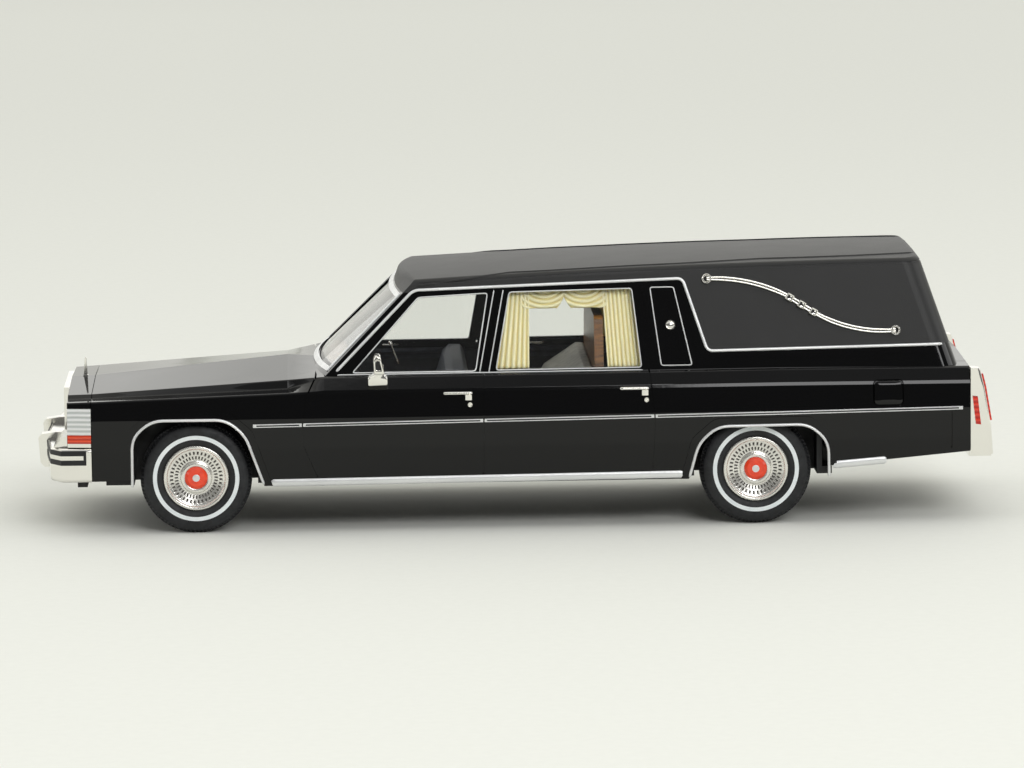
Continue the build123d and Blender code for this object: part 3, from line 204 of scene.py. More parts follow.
def sprayed_satin_vinyl(colour):
    """Satin black coat with a fine leather grain, as roof vinyl looks at this scale: soft grey sheen."""
    material, tree, shader = new_material("sprayed_satin_vinyl", colour, 0.46, {"IOR": 1.48})
    # The real cloth's grain would be 0.03 mm at this scale; 0.14 mm is the finest that shows
    raise_surface(tree, shader, grain(tree, 0.14, 3.0), 0.012)
    vary_roughness(tree, shader, 5.0, 0.45, 0.47)
    return material


def vacuum_plated_abs():
    """Moulded ABS with vacuum-plated aluminium: a bright mirror, softened by the moulding under it."""
    material, tree, shader = new_material("vacuum_plated_abs", "#eceae4", 0.1, {"Metallic": 1.0})
    raise_surface(tree, shader, grain(tree, 0.9, 1.0), 0.0015)
    vary_roughness(tree, shader, 2.5, 0.07, 0.15)
    return material


def plated_abs_with_painted_slot_shade():
    """Plated wheel covers: soft silver, with painted shade in their slots, darker and less metallic the
    deeper they are.
    """
    silver, painted_slot_shade = "#edebe5", "#37322b"
    material, tree, shader = new_material("plated_abs_with_painted_slot_shade", silver, 0.24, {"Metallic": 0.85})
    vary_roughness(tree, shader, 1.5, 0.2, 0.28)
    # Painted shade: the slots' depth darkens their colour and takes their metal away
    slot = add_node(tree, "ShaderNodeAttribute", settings={"attribute_name": "slot_depth"}).outputs["Fac"]
    mottle_base(tree, shader, slot, silver, painted_slot_shade)
    plated = add_node(
        tree, "ShaderNodeMapRange", inputs={"Value": slot, "To Min": 0.85, "To Max": 0.0}
    ).outputs[0]
    tree.links.new(plated, shader.inputs["Metallic"])
    return material


def hot_stamped_foil():
    """Silver foil stamped on the painted body: duller than the plated parts and a little uneven."""
    material, tree, shader = new_material("hot_stamped_foil", "#e6e7e8", 0.36, {"Metallic": 0.6})
    rubbed = patches(tree, 3.0, 1.0, (0.3, 1.0, 1.0))
    mottle_base(tree, shader, rubbed, "#dfe0e1", "#eff0f0")
    return material


def clear_polystyrene():
    """Injection-moulded clear polystyrene: glass-like, with faint flow marks, and light falls through it."""
    tint = "#fbfcfb"
    glassy = {"Transmission Weight": 1.0, "IOR": 1.45}
    material, tree, shader = new_material("clear_polystyrene", tint, 0.02, glassy)
    raise_surface(tree, shader, grain(tree, 6.0, 1.0), 0.004)
    # Light reaches what is behind a pane, without the caustics that would be too slow
    clear = add_node(tree, "ShaderNodeBsdfTransparent", inputs={"Color": linear(tint)})
    path = add_node(tree, "ShaderNodeLightPath")
    mixed = add_node(
        tree,
        "ShaderNodeMixShader",
        inputs={0: path.outputs["Is Shadow Ray"], 1: shader.outputs[0], 2: clear.outputs[0]},
    )
    output = next(n for n in tree.nodes if n.type == "OUTPUT_MATERIAL")
    tree.links.new(mixed.outputs[0], output.inputs["Surface"])
    return material


def tinted_polystyrene(name, hollow, lit_crest, rib_mm):
    """Moulded lamp lens with ribs: saturated and wet, with a painted highlight on each rib's crest and
    painted shade in its hollows.
    """
    material, tree, shader = new_material(
        name,
        lit_crest,
        0.1,
        {"IOR": 1.5, "Transmission Weight": 0.15, "Coat Weight": 0.4, "Coat Roughness": 0.05},
    )
    ribs = rib_wave(tree, "Z", rib_mm, 0.4)
    # Painted light: the hollow colour is a painted shade between the ribs and the crest colour a painted
    # highlight on them
    mottle_base(tree, shader, ribs, hollow, lit_crest)
    raise_surface(tree, shader, ribs, 0.05)
    return material


def moulded_black_abs():
    """Black ABS straight from the mould: dull, with a faint eroded texture."""
    material, tree, shader = new_material("moulded_black_abs", "#141416", 0.55, {"IOR": 1.5})
    raise_surface(tree, shader, grain(tree, 0.25, 3.0), 0.01)
    vary_roughness(tree, shader, 2.0, 0.45, 0.65)
    return material


def moulded_grey_abs(name, dark, light, rib_mm=0.0):
    """Grey ABS with a spark-eroded surface: matt with a light mottle, or with sewn ribs on the seats."""
    material, tree, shader = new_material(name, dark, 0.6, {"IOR": 1.5})
    mottle_base(tree, shader, patches(tree, 1.2), dark, light)
    if rib_mm:
        raise_surface(tree, shader, rib_wave(tree, "Y", rib_mm), 0.12)
    else:
        raise_surface(tree, shader, grain(tree, 0.22, 3.0), 0.012)
    return material


def moulded_cream_abs(shadow, light):
    """Cream ABS moulded as gathered cloth: waxy, with light in the depth and a painted shade along each
    fold's valley.
    """
    material, tree, shader = new_material(
        "moulded_cream_abs",
        light,
        0.5,
        {
            "IOR": 1.46,
            "Subsurface Weight": 0.15,
            "Subsurface Radius": (0.6 * MM, 0.45 * MM, 0.2 * MM),
            "Subsurface Scale": 1.0,
        },
    )
    # The fold value is 0 in a fold's valley and 1 on its crest; the valleys take the shadow colour, a painted
    # shade
    fold = add_node(tree, "ShaderNodeAttribute", settings={"attribute_name": "fold"}).outputs["Fac"]
    mottle_base(tree, shader, fold, shadow, light)
    raise_surface(tree, shader, grain(tree, 0.18, 2.0, (1.0, 1.0, 0.2)), 0.01)
    return material


def printed_walnut(dark, light):
    """Brown ABS with a printed walnut figure: long level streaks, satin."""
    material, tree, shader = new_material("printed_walnut", dark, 0.35, {"IOR": 1.5})
    streaks = patches(tree, 0.6, 4.0, (0.25, 0.25, 1.6))
    mottle_base(tree, shader, streaks, dark, light)
    raise_surface(tree, shader, streaks, 0.006)
    return material


def moulded_tyre_rubber():
    """Moulded black rubber: deep matt grey-black with a dusty bloom."""
    material, tree, shader = new_material("moulded_tyre_rubber", "#17181a", 0.62, {"IOR": 1.5})
    bloom = patches(tree, 1.8, 3.0)
    mottle_base(tree, shader, bloom, "#121315", "#232427")
    vary_roughness(tree, shader, 0.8, 0.5, 0.72)
    raise_surface(tree, shader, grain(tree, 0.2, 3.0), 0.012)
    return material


def printed_white_rubber():
    """White band printed on the tyre: cool white with a soft shine, a little patchy."""
    material, tree, shader = new_material("printed_white_rubber", "#f2f7f8", 0.45, {"IOR": 1.48})
    mottle_base(tree, shader, patches(tree, 1.5), "#eaf1f3", "#f7fbfc")
    raise_surface(tree, shader, grain(tree, 0.3, 2.0), 0.006)
    return material


def orange_red_enamel(colour):
    """Brushed-on enamel pooled in the hub: strong orange-red, a deeper red in patches where it pools."""
    coated = {"IOR": 1.5, "Coat Weight": 0.5, "Coat Roughness": 0.04}
    material, tree, shader = new_material("orange_red_enamel", colour, 0.2, coated)
    pool = patches(tree, 0.9, 2.0)
    mottle_base(tree, shader, pool, "#f03c14", colour)
    raise_surface(tree, shader, grain(tree, 0.5, 2.0), 0.01)
    return material


def turned_steel():
    """Plain steel rod, turned: grey metal with fine rings round it."""
    material, tree, shader = new_material("turned_steel", "#9d9c99", 0.3, {"Metallic": 1.0})
    raise_surface(tree, shader, grain(tree, 0.3, 2.0, (0.2, 3.0, 0.2)), 0.006)
    vary_roughness(tree, shader, 0.6, 0.25, 0.4)
    return material


def matt_paper(colour):
    """Matt studio paper under the model: no shine, with a very faint mottle."""
    material, tree, shader = new_material("matt_paper", colour, 0.95, {"Specular IOR Level": 0.1})
    mottle_base(tree, shader, patches(tree, 1.6, 4.0), "#e6e7e1", colour)
    return material


def give_finish(obj, *materials):
    """Puts materials on a piece in place of its own."""
    obj.data.materials.clear()
    for material in materials:
        obj.data.materials.append(material)


def finish_solids(material, *names):
    """Puts one material on some of the solids."""
    for name in names:
        give_finish(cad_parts[name], material)


def mesh_piece(name, points_mm, faces, materials, body="root", smooth=True):
    """A mesh from points in millimetres that rides on a body."""
    mesh = bpy.data.meshes.new(name)
    mesh.from_pydata([Vector(p) * MM for p in points_mm], [], faces)
    mesh.validate()
    obj = bpy.data.objects.new(name, mesh)
    bpy.context.scene.collection.objects.link(obj)
    give_finish(obj, *materials)
    if smooth:
        for polygon in mesh.polygons:
            polygon.use_smooth = True
    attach(obj, body)
    return obj


def outer_surface(node):
    """A search tree over a solid's faces, for places on its surface."""
    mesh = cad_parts[node].data
    return BVHTree.FromPolygons([v.co for v in mesh.vertices], [p.vertices for p in mesh.polygons])


def side_y(tree, x, z, side):
    """How far out a surface lies at a place on the car's side, in millimetres; None beside it."""
    hit = tree.ray_cast(Vector((x, side * OUTSIDE_MM, z)) * MM, Vector((0.0, -side, 0.0)))[0]
    return None if hit is None or hit.y * side < 0 else hit.y / MM


def circle(middle, first, second, radius, count=10):
    """Points round a circle that lies in the plane of two directions."""
    turns = [2 * math.pi * i / count for i in range(count)]
    return [tuple(middle + (first * math.cos(a) + second * math.sin(a)) * radius) for a in turns]


def turn_outward(mesh):
    """Makes every face of a closed mesh look outward."""
    shape = bmesh.new()
    shape.from_mesh(mesh)
    bmesh.ops.recalc_face_normals(shape, faces=shape.faces)
    shape.to_mesh(mesh)
    shape.free()


def write_values(obj, name, values):
    """Stores a number at each of a mesh's points, for its material to read."""
    attribute = obj.data.attributes.new(name, "FLOAT", "POINT")
    attribute.data.foreach_set("value", values)


def tube_piece(name, loops, materials, body="root", smooth=True, ring=False):
    """A closed mesh through a run of loops that all have the same number of points."""
    count = len(loops[0])
    points = [point for loop in loops for point in loop]
    faces = []
    for step in range(len(loops) if ring else len(loops) - 1):
        here, ahead = step * count, (step + 1) % len(loops) * count
        for i in range(count):
            j = (i + 1) % count
            faces.append((here + i, here + j, ahead + j, ahead + i))
    if not ring:
        faces.append(tuple(range(count)))
        faces.append(tuple(range(len(points) - 1, len(points) - count - 1, -1)))
    obj = mesh_piece(name, points, faces, materials, body, smooth)
    turn_outward(obj.data)
    if smooth:
        obj.data.set_sharp_from_angle(angle=math.radians(40))
    return obj


def round_corners(line, radius, step, closed=False):
    """Evenly spaced (x, z) points along a run of points whose corners are rounded."""
    corners = [Vector(p) for p in line]
    count = len(corners)
    path = []
    for i, corner in enumerate(corners):
        before, after = corners[i - 1], corners[(i + 1) % count]
        if not closed and i in (0, count - 1):
            path.append(corner)
            continue
        to_before, to_after = before - corner, after - corner
        reach = min(radius, to_before.length / 2.2, to_after.length / 2.2)
        start = corner + to_before.normalized() * reach
        end = corner + to_after.normalized() * reach
        for share in (0.0, 0.2, 0.4, 0.6, 0.8, 1.0):
            path.append(start * (1 - share) ** 2 + corner * 2 * share * (1 - share) + end * share**2)
    if closed:
        path.append(path[0])
    points = []
    for a, b in zip(path, path[1:]):
        pieces = max(1, math.ceil((b - a).length / step))
        points += [a + (b - a) * i / pieces for i in range(pieces)]
    return points if closed else [*points, path[-1]]


def on_surface(tree, line, side):
    """Runs of points in millimetres where a line lies on a surface, bridging small gaps."""
    runs, run, gap = [], [], 0
    for x, z in line:
        y = side_y(tree, x, z, side)
        if y is None:
            gap += 1
            continue
        if run and gap > MOST_MISSED:
            runs.append(run)
            run = []
        run.append(Vector((x, y, z)))
        gap = 0
    runs.append(run)
    return [r for r in runs if len(r) > 1]


def bead(name, points, width, height, lean, side, material, ring=False, root=0.1):
    """A half-round bead along a run of points on the car's side, with its root sunk into the side."""
    out = Vector((0.0, side, lean)).normalized()
    arcs = 6
    loops = []
    last = len(points) - 1
    for i, point in enumerate(points):
        if ring:
            along = points[(i + 1) % len(points)] - points[i - 1]
        else:
            along = points[min(i + 1, last)] - points[max(i - 1, 0)]
        across = out.cross(along).normalized()
        at_end = not ring and i in (0, last)
        w, h = (width * 0.3, height * 0.5) if at_end else (width / 2, height)
        foot = point - out * (height + root)
        loop = [foot + across * w, foot - across * w]
        for turn in range(arcs + 1):
            angle = math.pi * (1 - turn / arcs)
            loop.append(point + out * (h * math.sin(angle) - height) + across * w * math.cos(angle))
        loops.append([tuple(p) for p in loop])
    return tube_piece(name, loops, [material], ring=ring)


def lathe(name, middle, out, profile, material, body="root"):
    """A round piece turned about an axis, from points (radius, height) along it in millimetres."""
    second = out.cross(X_AXIS).normalized()
    loops = [circle(middle + out * height, X_AXIS, second, radius, 24) for radius, height in profile]
    return tube_piece(name, loops, [material], body)


def side_block(name, outline, rounding, y_inner, y_outer, side, materials, hollow=()):
    """A rounded block across the car, with a bevelled outer end that may be hollowed."""
    path = round_corners(outline, rounding, 0.2, closed=True)
    middle = sum(path, Vector((0.0, 0.0))) / len(path)
    # Columns: y, share of the outline's size
    bevelled = ((y_inner, 1.0), (y_outer - 0.25, 1.0), (y_outer - 0.07, 0.94), (y_outer, 0.84))
    loops = []
    for y, scale in (*bevelled, *hollow):
        placed = [middle + (p - middle) * scale for p in path]
        loops.append([(p.x, side * y, p.y) for p in placed])
    return tube_piece(name, loops, materials)


def soften(node, radius_mm):
    """Rounds the edges of a solid a little, as moulding and plating do."""
    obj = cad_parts[node]
    weld = obj.modifiers.new("weld", "WELD")
    weld.merge_threshold = 0.001 * MM
    bevel = obj.modifiers.new("soft_edges", "BEVEL")
    bevel.width = radius_mm * MM
    bevel.segments = 3
    bevel.limit_method = "ANGLE"
    bevel.angle_limit = math.radians(35)
    bevel.use_clamp_overlap = True
    bevel.harden_normals = True


def join_pieces(name, pieces):
    """Makes one piece of several that ride on the same body."""
    joined = bmesh.new()
    for piece in pieces:
        joined.from_mesh(piece.data)
    joined.to_mesh(pieces[0].data)
    joined.free()
    for spare in pieces[1:]:
        bpy.data.objects.remove(spare)
    pieces[0].name = name
    return pieces[0]


def grid_faces(rows, columns, first=0, wrap=False):
    """Quads of a grid whose points are numbered row by row."""
    faces = []
    last_row = rows if wrap else rows - 1
    for r in range(last_row):
        for c in range(columns - 1):
            a = first + r * columns + c
            b = first + ((r + 1) % rows) * columns + c
            faces.append((a, a + 1, b + 1, b))
    return faces


class HearseColours(bpy.types.PropertyGroup):
    """Colours that a user of the model may change."""

    body: bpy.props.StringProperty(name="Body", description="Lacquer of the body", default="#040405")
    vinyl: bpy.props.StringProperty(name="Roof", description="Satin coat of the roof", default="#0c0c0c")
    curtain: bpy.props.StringProperty(name="Curtains", description="Cream of the curtains", default="#f6eec6")
    # The cream in the folds is a painted shade in the curtains' fold valleys
    curtain_fold_shade: bpy.props.StringProperty(name="Folds", description="Cream in the folds", default="#d6c27f")
    hub: bpy.props.StringProperty(name="Hubs", description="Enamel of the hub discs", default="#ff4a1a")
    floor: bpy.props.StringProperty(name="Floor", description="Paper below the model", default="#e4e5df")


class HearseSizes(bpy.types.PropertyGroup):
    """Sizes of the dressing that a user of the model may change, in metres."""

    pleat_pitch: bpy.props.FloatProperty(
        name="Pleat pitch", description="From fold to fold of a curtain", default=0.62 * MM, unit="LENGTH"
    )
    pleat_depth: bpy.props.FloatProperty(
        name="Pleat depth", description="From valley to top of a fold", default=0.28 * MM, unit="LENGTH"
    )
    tread_blocks: bpy.props.IntProperty(
        name="Tread blocks", description="Blocks round one shoulder of a tyre", default=84, min=24
    )
    groove_depth: bpy.props.FloatProperty(
        name="Groove depth", description="Depth of the grooves in the tread", default=0.2 * MM, unit="LENGTH"
    )


class HEARSE_OT_body_finish(bpy.types.Operator):
    """Lacquer, satin vinyl and black plastic on the body's solids."""

    bl_idname = "hearse.body_finish"
    bl_label = "Finish the body"

    plastic = (
        "chassis_base",
        "wheel_wells",
        "plinth_posts",
        "front_bumper_strips",
        "rear_bumper_strip",
        "steering_wheel",
    )

    def execute(self, context):
        colours = context.scene.hearse_colours
        finish_solids(sprayed_black_lacquer(colours.body), "body_shell", "header_panel")
        finish_solids(sprayed_satin_vinyl(colours.vinyl), "roof_cover")
        finish_solids(moulded_black_abs(), *self.plastic)
        return {"FINISHED"}


class HEARSE_OT_brightwork(bpy.types.Operator):
    """Plated parts and foil lines."""

    bl_idname = "hearse.brightwork"
    bl_label = "Plate the bright parts"

    plated = (
        "front_bumper",
        "rear_bumper",
        "grille",
        "lamp_bezels",
        "hood_ornament",
        "rear_door_fittings",
        "bay_rollers",
    )
    foiled = ("side_mouldings", "windscreen_trim")
    # Columns: solid, radius of its edges
    softened = (
        ("front_bumper", 0.18),
        ("rear_bumper", 0.22),
        ("lamp_bezels", 0.08),
        ("hood_ornament", 0.06),
        ("rear_door_fittings", 0.1),
        ("side_mouldings", 0.06),
    )

    def execute(self, context):
        finish_solids(vacuum_plated_abs(), *self.plated)
        finish_solids(hot_stamped_foil(), *self.foiled)
        for name, radius_mm in self.softened:
            soften(name, radius_mm)
        return {"FINISHED"}


class HEARSE_OT_glazing(bpy.types.Operator):
    """Clear panes and coloured lamp lenses."""

    bl_idname = "hearse.glazing"
    bl_label = "Glaze windows and lamps"

    def execute(self, context):
        finish_solids(clear_polystyrene(), "windscreen", "side_windows", "tailgate_glass")
        # Each lens's first colour is a painted shade in its rib hollows, and its second a painted highlight
        # on the crests
        ribbed = tinted_polystyrene("ribbed_clear_polystyrene", "#c6cac8", "#fdfefd", 0.7)
        finish_solids(ribbed, "headlamps", "corner_lamps")
        amber = tinted_polystyrene("amber_polystyrene", "#c42a10", "#ff5a33", 0.55)
        finish_solids(amber, "front_markers")
        red = tinted_polystyrene("red_polystyrene", "#c01d12", "#f4402c", 0.8)
        finish_solids(red, "tail_lamps", "rear_markers")
        return {"FINISHED"}


class HEARSE_OT_cabin_finish(bpy.types.Operator):
    """Moulded greys and printed wood inside the cabin."""

    bl_idname = "hearse.cabin_finish"
    bl_label = "Finish the cabin"

    def execute(self, context):
        dark = moulded_grey_abs("moulded_dark_grey_abs", "#1b1d22", "#26292f")
        finish_solids(dark, "interior_tub", "load_bay")
        slate = moulded_grey_abs("moulded_slate_abs", "#2c2f37", "#3a3e47", 1.3)
        finish_solids(slate, "front_seat")
        pale = moulded_grey_abs("moulded_pale_grey_abs", "#b3b0a6", "#cdcac0", 1.0)
        finish_solids(pale, "rear_seat")
        finish_solids(printed_walnut("#46290c", "#80531c"), "dashboard", "partition")
        return {"FINISHED"}


class HEARSE_OT_door_cards(bpy.types.Operator):
    """Door linings with an armrest and a pull, and the lever on the steering column."""

    bl_idname = "hearse.door_cards"
    bl_label = "Line the doors"

    foot_z = 20.4
    top_z = 24.0
    seam_z = 23.1
    armrest_z = 22.2
    pull_z = 23.3
    # Ends of a pull, as distances behind the front end of its lining
    pull_ends = (7.0, 9.6)
    # How far each stands out from the lining, and how deep the seam is
    armrest_mm = 0.7
    roll_mm = 0.12
    seam_mm = 0.06
    # How far out the cabin's wall is at one height; the lining follows it as it leans in
    wall_y = 18.75
    wall_z = 22.9
    # Columns: front and rear end of each door's lining
    doors = ((26.6, 6.4), (3.6, -11.8))
    # Columns: x, z, radius
    lever_sections = (
        (17.45, 23.6, 0.14),
        (18.5, 26.5, 0.14),
        (18.52, 26.6, 0.26),
        (18.65, 27.0, 0.26),
        (18.7, 27.15, 0.12),
    )

    def execute(self, context):
        lining = moulded_grey_abs("moulded_lining_abs", "#2e3139", "#3c4049")
        plated = bpy.data.materials["vacuum_plated_abs"]
        for side, label in SIDES:
            cards, pulls = [], []
            for front_x, rear_x in self.doors:
                cards.append(self.card(side, front_x, rear_x, lining))
                pulls.append(self.pull(side, *(front_x - back for back in self.pull_ends), plated))
            join_pieces(f"door_cards_{label}", cards)
            join_pieces(f"door_pulls_{label}", pulls)
        column_y = box_mm("steering_wheel")[0].y + 1.6
        lever = [circle(Vector((x, column_y, z)), X_AXIS, Y_AXIS, r) for x, z, r in self.lever_sections]
        tube_piece("column_lever", lever, [plated])
        return {"FINISHED"}

    def inner_y(self, z):
        """How far out the lining's back is at a height."""
        return self.wall_y - CABIN_LEAN * (z - self.wall_z)

    def card(self, side, front_x, rear_x, material):
        """One lining, with a rolled top edge and an armrest pressed out of it."""
        across, down = 60, 22
        points = []
        for i in range(across + 1):
            u = i / across
            x = front_x + u * (rear_x - front_x)
            for j in range(down + 1):
                z = self.top_z + (self.foot_z - self.top_z) * j / down
                length_share = max(0.0, 1 - abs(u - 0.5) / 0.32)
                height_share = max(0.0, 1 - abs(z - self.armrest_z) / 0.45)
                armrest = self.armrest_mm * length_share**0.3 * height_share**0.5
                roll = self.roll_mm * max(0.0, 1 - (self.top_z - z) / 0.4)
                seam = self.seam_mm if abs(z - self.seam_z) < 0.1 else 0.0
                points.append((x, side * (self.inner_y(z) - 0.1 - armrest - roll + seam), z))
        obj = mesh_piece("card", points, grid_faces(across + 1, down + 1), [material])
        thick = obj.modifiers.new("thickness", "SOLIDIFY")
        thick.thickness = 0.1 * MM
        return self.applied(obj)

    def applied(self, obj):
        """The piece with its modifiers made real."""
        shaped = obj.evaluated_get(bpy.context.evaluated_depsgraph_get())
        obj.data = bpy.data.meshes.new_from_object(shaped)
        obj.modifiers.clear()
        return obj

    def pull(self, side, front_x, rear_x, material):
        """A rounded grip above the armrest."""
        loops = []
        for share in (0.0, 0.08, 0.25, 0.5, 0.75, 0.92, 1.0):
            r = 0.2 if 0.05 < share < 0.95 else 0.12
            x = front_x + share * (rear_x - front_x)
            y = self.inner_y(self.pull_z) - 0.25 - 0.3 * math.sin(math.pi * share)
            loops.append(circle(Vector((x, side * y, self.pull_z)), side * Y_AXIS, Z_AXIS, r))
        return tube_piece("pull", loops, [material])


class HEARSE_OT_curtains(bpy.types.Operator):
    """Gathered curtains with two swags inside each rear side window."""

    bl_idname = "hearse.curtains"
    bl_label = "Hang the curtains"

    thickness_mm = 0.14
    glass_gap_mm = 0.12
    # Places of the valance, as distances behind the curtains' front end
    peak_back = 11.4
    swag_backs = (8.4, 14.4)
    valance_foot_z = 33.1
    swag_fold_mm = 0.713

    def execute(self, context):
        sizes = context.scene.hearse_sizes
        colours = context.scene.hearse_colours
        pitch, depth = sizes.pleat_pitch / MM, sizes.pleat_depth / MM
        low, high = box_mm("curtains")
        front, rear, head, foot = high.x, low.x, high.z, low.z
        # Corners (x, z) of each panel: top front, top rear, foot rear, foot front
        front_drape = (
            (front - 2.0, head - 0.2),
            (front - 6.1, head - 0.2),
            (front - 5.9, foot),
            (front, foot),
        )
        rear_drape = ((rear + 6.4, head), (rear + 1.0, head), (rear, foot), (rear + 5.7, foot))
        valance = (
            (front - 5.0, head - 0.2),
            (rear + 5.6, head - 0.1),
            (rear + 5.6, self.valance_foot_z),
            (front - 5.0, self.valance_foot_z),
        )

        def lift(x):
            """Foot of the valance, which rises to a peak between its two swags."""
            away = abs(x - front + self.peak_back)
            peak = 1.7 * max(0.0, 1 - away / 1.3) ** 1.5
            return self.valance_foot_z + peak - 0.25 * math.sin(math.pi * min(1.0, away / 6.0))

        def swag(x, z, share, width):
            """Curved folds round the nearer swag's middle."""
            across = min((x - front + back for back in self.swag_backs), key=abs)
            away = math.hypot(across / 1.25, z - head - 0.4)
            return math.cos(2 * math.pi * away / self.swag_fold_mm)

        def pleat(x, z, share, width):
            """Upright folds, a little uneven."""
            turns = round(width / pitch)
            return math.cos(2 * math.pi * turns * share + 0.5 * math.sin(2.3 * share * math.pi))

        # Columns: corners, steps across and down, height of a fold, lowest place
        panels = (
            (front_drape, 72, 40, pleat, None),
            (rear_drape, 80, 40, pleat, None),
            (valance, 110, 26, swag, lift),
        )
        # The drapes follow the glass, which leans in towards the roof
        glass_y = high.y - depth / 2 - self.glass_gap_mm
        points, folds, faces = [], [], []
        for corners, across, down, fold, lowest in panels:
            faces += grid_faces(across + 1, down + 1, len(points))
            for x, z, gather, height in self.panel(corners, across, down, fold, lowest):
                y = glass_y - CABIN_LEAN * (z - foot) + 0.5 * depth * gather * height
                points.append((x, y, z))
                # The same fold value places the painted shade in the valleys
                folds.append(0.5 + 0.5 * height)
        cream = moulded_cream_abs(colours.curtain_fold_shade, colours.curtain)
        for side, label in SIDES:
            placed = [(x, side * y, z) for x, y, z in points]
            turned = [tuple(reversed(f)) for f in faces] if side > 0 else faces
            obj = mesh_piece(f"curtain_set_{label}", placed, turned, [cream])
            write_values(obj, "fold", folds)
            thick = obj.modifiers.new("thickness", "SOLIDIFY")
            thick.thickness = self.thickness_mm * MM
            thick.offset = 0.0
            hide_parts("curtains")
        return {"FINISHED"}

    def panel(self, corners, across, down, fold, lowest):
        """Places (x, z) over a gathered panel, with how far its folds stand out and their height there."""
        top_front, top_rear, foot_rear, foot_front = (Vector(corner) for corner in corners)
        width = (top_rear - top_front).length
        for i in range(across + 1):
            share = i / across
            top, foot = top_front.lerp(top_rear, share), foot_front.lerp(foot_rear, share)
            for j in range(down + 1):
                fall = j / down
                x = top.x + fall * (foot.x - top.x)
                foot_z = max(foot.y, lowest(x)) if lowest else foot.y
                z = top.y + fall * (foot_z - top.y)
                # The folds open out towards the foot
                yield x, z, 0.65 + 0.35 * fall, fold(x, z, share, width)


class HEARSE_OT_tyres(bpy.types.Operator):
    """Tyres with grooves, shoulder blocks and a narrow white band."""

    bl_idname = "hearse.tyres"
    bl_label = "Fit the tyres"

    band_inner_mm = 5.95
    band_outer_mm = 6.57
    steps_per_block = 4

    def execute(self, context):
        sizes = context.scene.hearse_sizes
        rubber = moulded_tyre_rubber()
        white = printed_white_rubber()
        around = sizes.tread_blocks * self.steps_per_block
        for place in WHEEL_PLACES:
            low, high, centre, side = wheel_part(f"tyre_{place}")
            radius = (high.z - low.z) / 2
            half = (high.y - low.y) / 2
            rows = self.profile(radius, half, sizes.groove_depth / MM)
            points = []
            for step in range(around):
                angle = 2 * math.pi * step / around
                in_notch = step % self.steps_per_block < self.steps_per_block / 2
                for r, h, cut in rows:
                    r_here = r - (cut if in_notch else 0.0)
                    x, z = r_here * math.cos(angle), r_here * math.sin(angle)
                    points.append((centre.x + x, centre.y + side * h, centre.z + z))
            columns = len(rows)
            faces = grid_faces(around, columns, wrap=True)
            for step in range(around):
                a, b = step * columns, ((step + 1) % around) * columns
                faces.append((b, a, a + columns - 1, b + columns - 1))
            if side > 0:
                faces = [tuple(reversed(f)) for f in faces]
            obj = mesh_piece(f"tyre_tread_{place}", points, faces, [rubber, white], wheelset_of(place))
            for polygon in obj.data.polygons:
                middle = polygon.center / MM
                away = math.hypot(middle.x - centre.x, middle.z - centre.z)
                on_outer_face = (middle.y - centre.y) * side > half - 0.1
                if on_outer_face and self.band_inner_mm < away < self.band_outer_mm:
                    polygon.material_index = 1
            obj.data.shade_smooth()
            obj.data.set_sharp_from_angle(angle=math.radians(28))
            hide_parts(f"tyre_{place}")
        return {"FINISHED"}

    def profile(self, radius, half, groove):
        """Points (radius, height, notch depth) from the inner bead over the tread to the outer bead."""
        seat = 5.0
        wall = [
            (seat, half - 0.55, 0.0),
            (seat + 0.2, half - 0.3, 0.0),
            (seat + 0.55, half - 0.1, 0.0),
            (self.band_inner_mm - 0.04, half - 0.05, 0.0),
            (self.band_inner_mm, half, 0.0),
            (self.band_outer_mm, half, 0.0),
            (self.band_outer_mm + 0.04, half - 0.05, 0.0),
            (radius - 1.35, half - 0.07, 0.0),
            (radius - 0.85, half - 0.2, 0.0),
            (radius - 0.52, half - 0.45, 0.0),
            (radius - 0.5, half - 0.5, 0.16),
            (radius - 0.18, half - 0.85, 0.2),
            (radius - 0.02, half - 1.25, 0.2),
            (radius, half - 1.3, 0.0),
        ]
        tread = []
        for offset in (1.0, 0.34):
            tread += [
                (radius, offset + 0.1, 0.0),
                (radius - groove, offset + 0.08, 0.0),
                (radius - groove, offset - 0.08, 0.0),
                (radius, offset - 0.1, 0.0),
            ]
        outer = wall + tread
        inner = [(r, -h, cut) for r, h, cut in outer]
        return inner + outer[::-1]


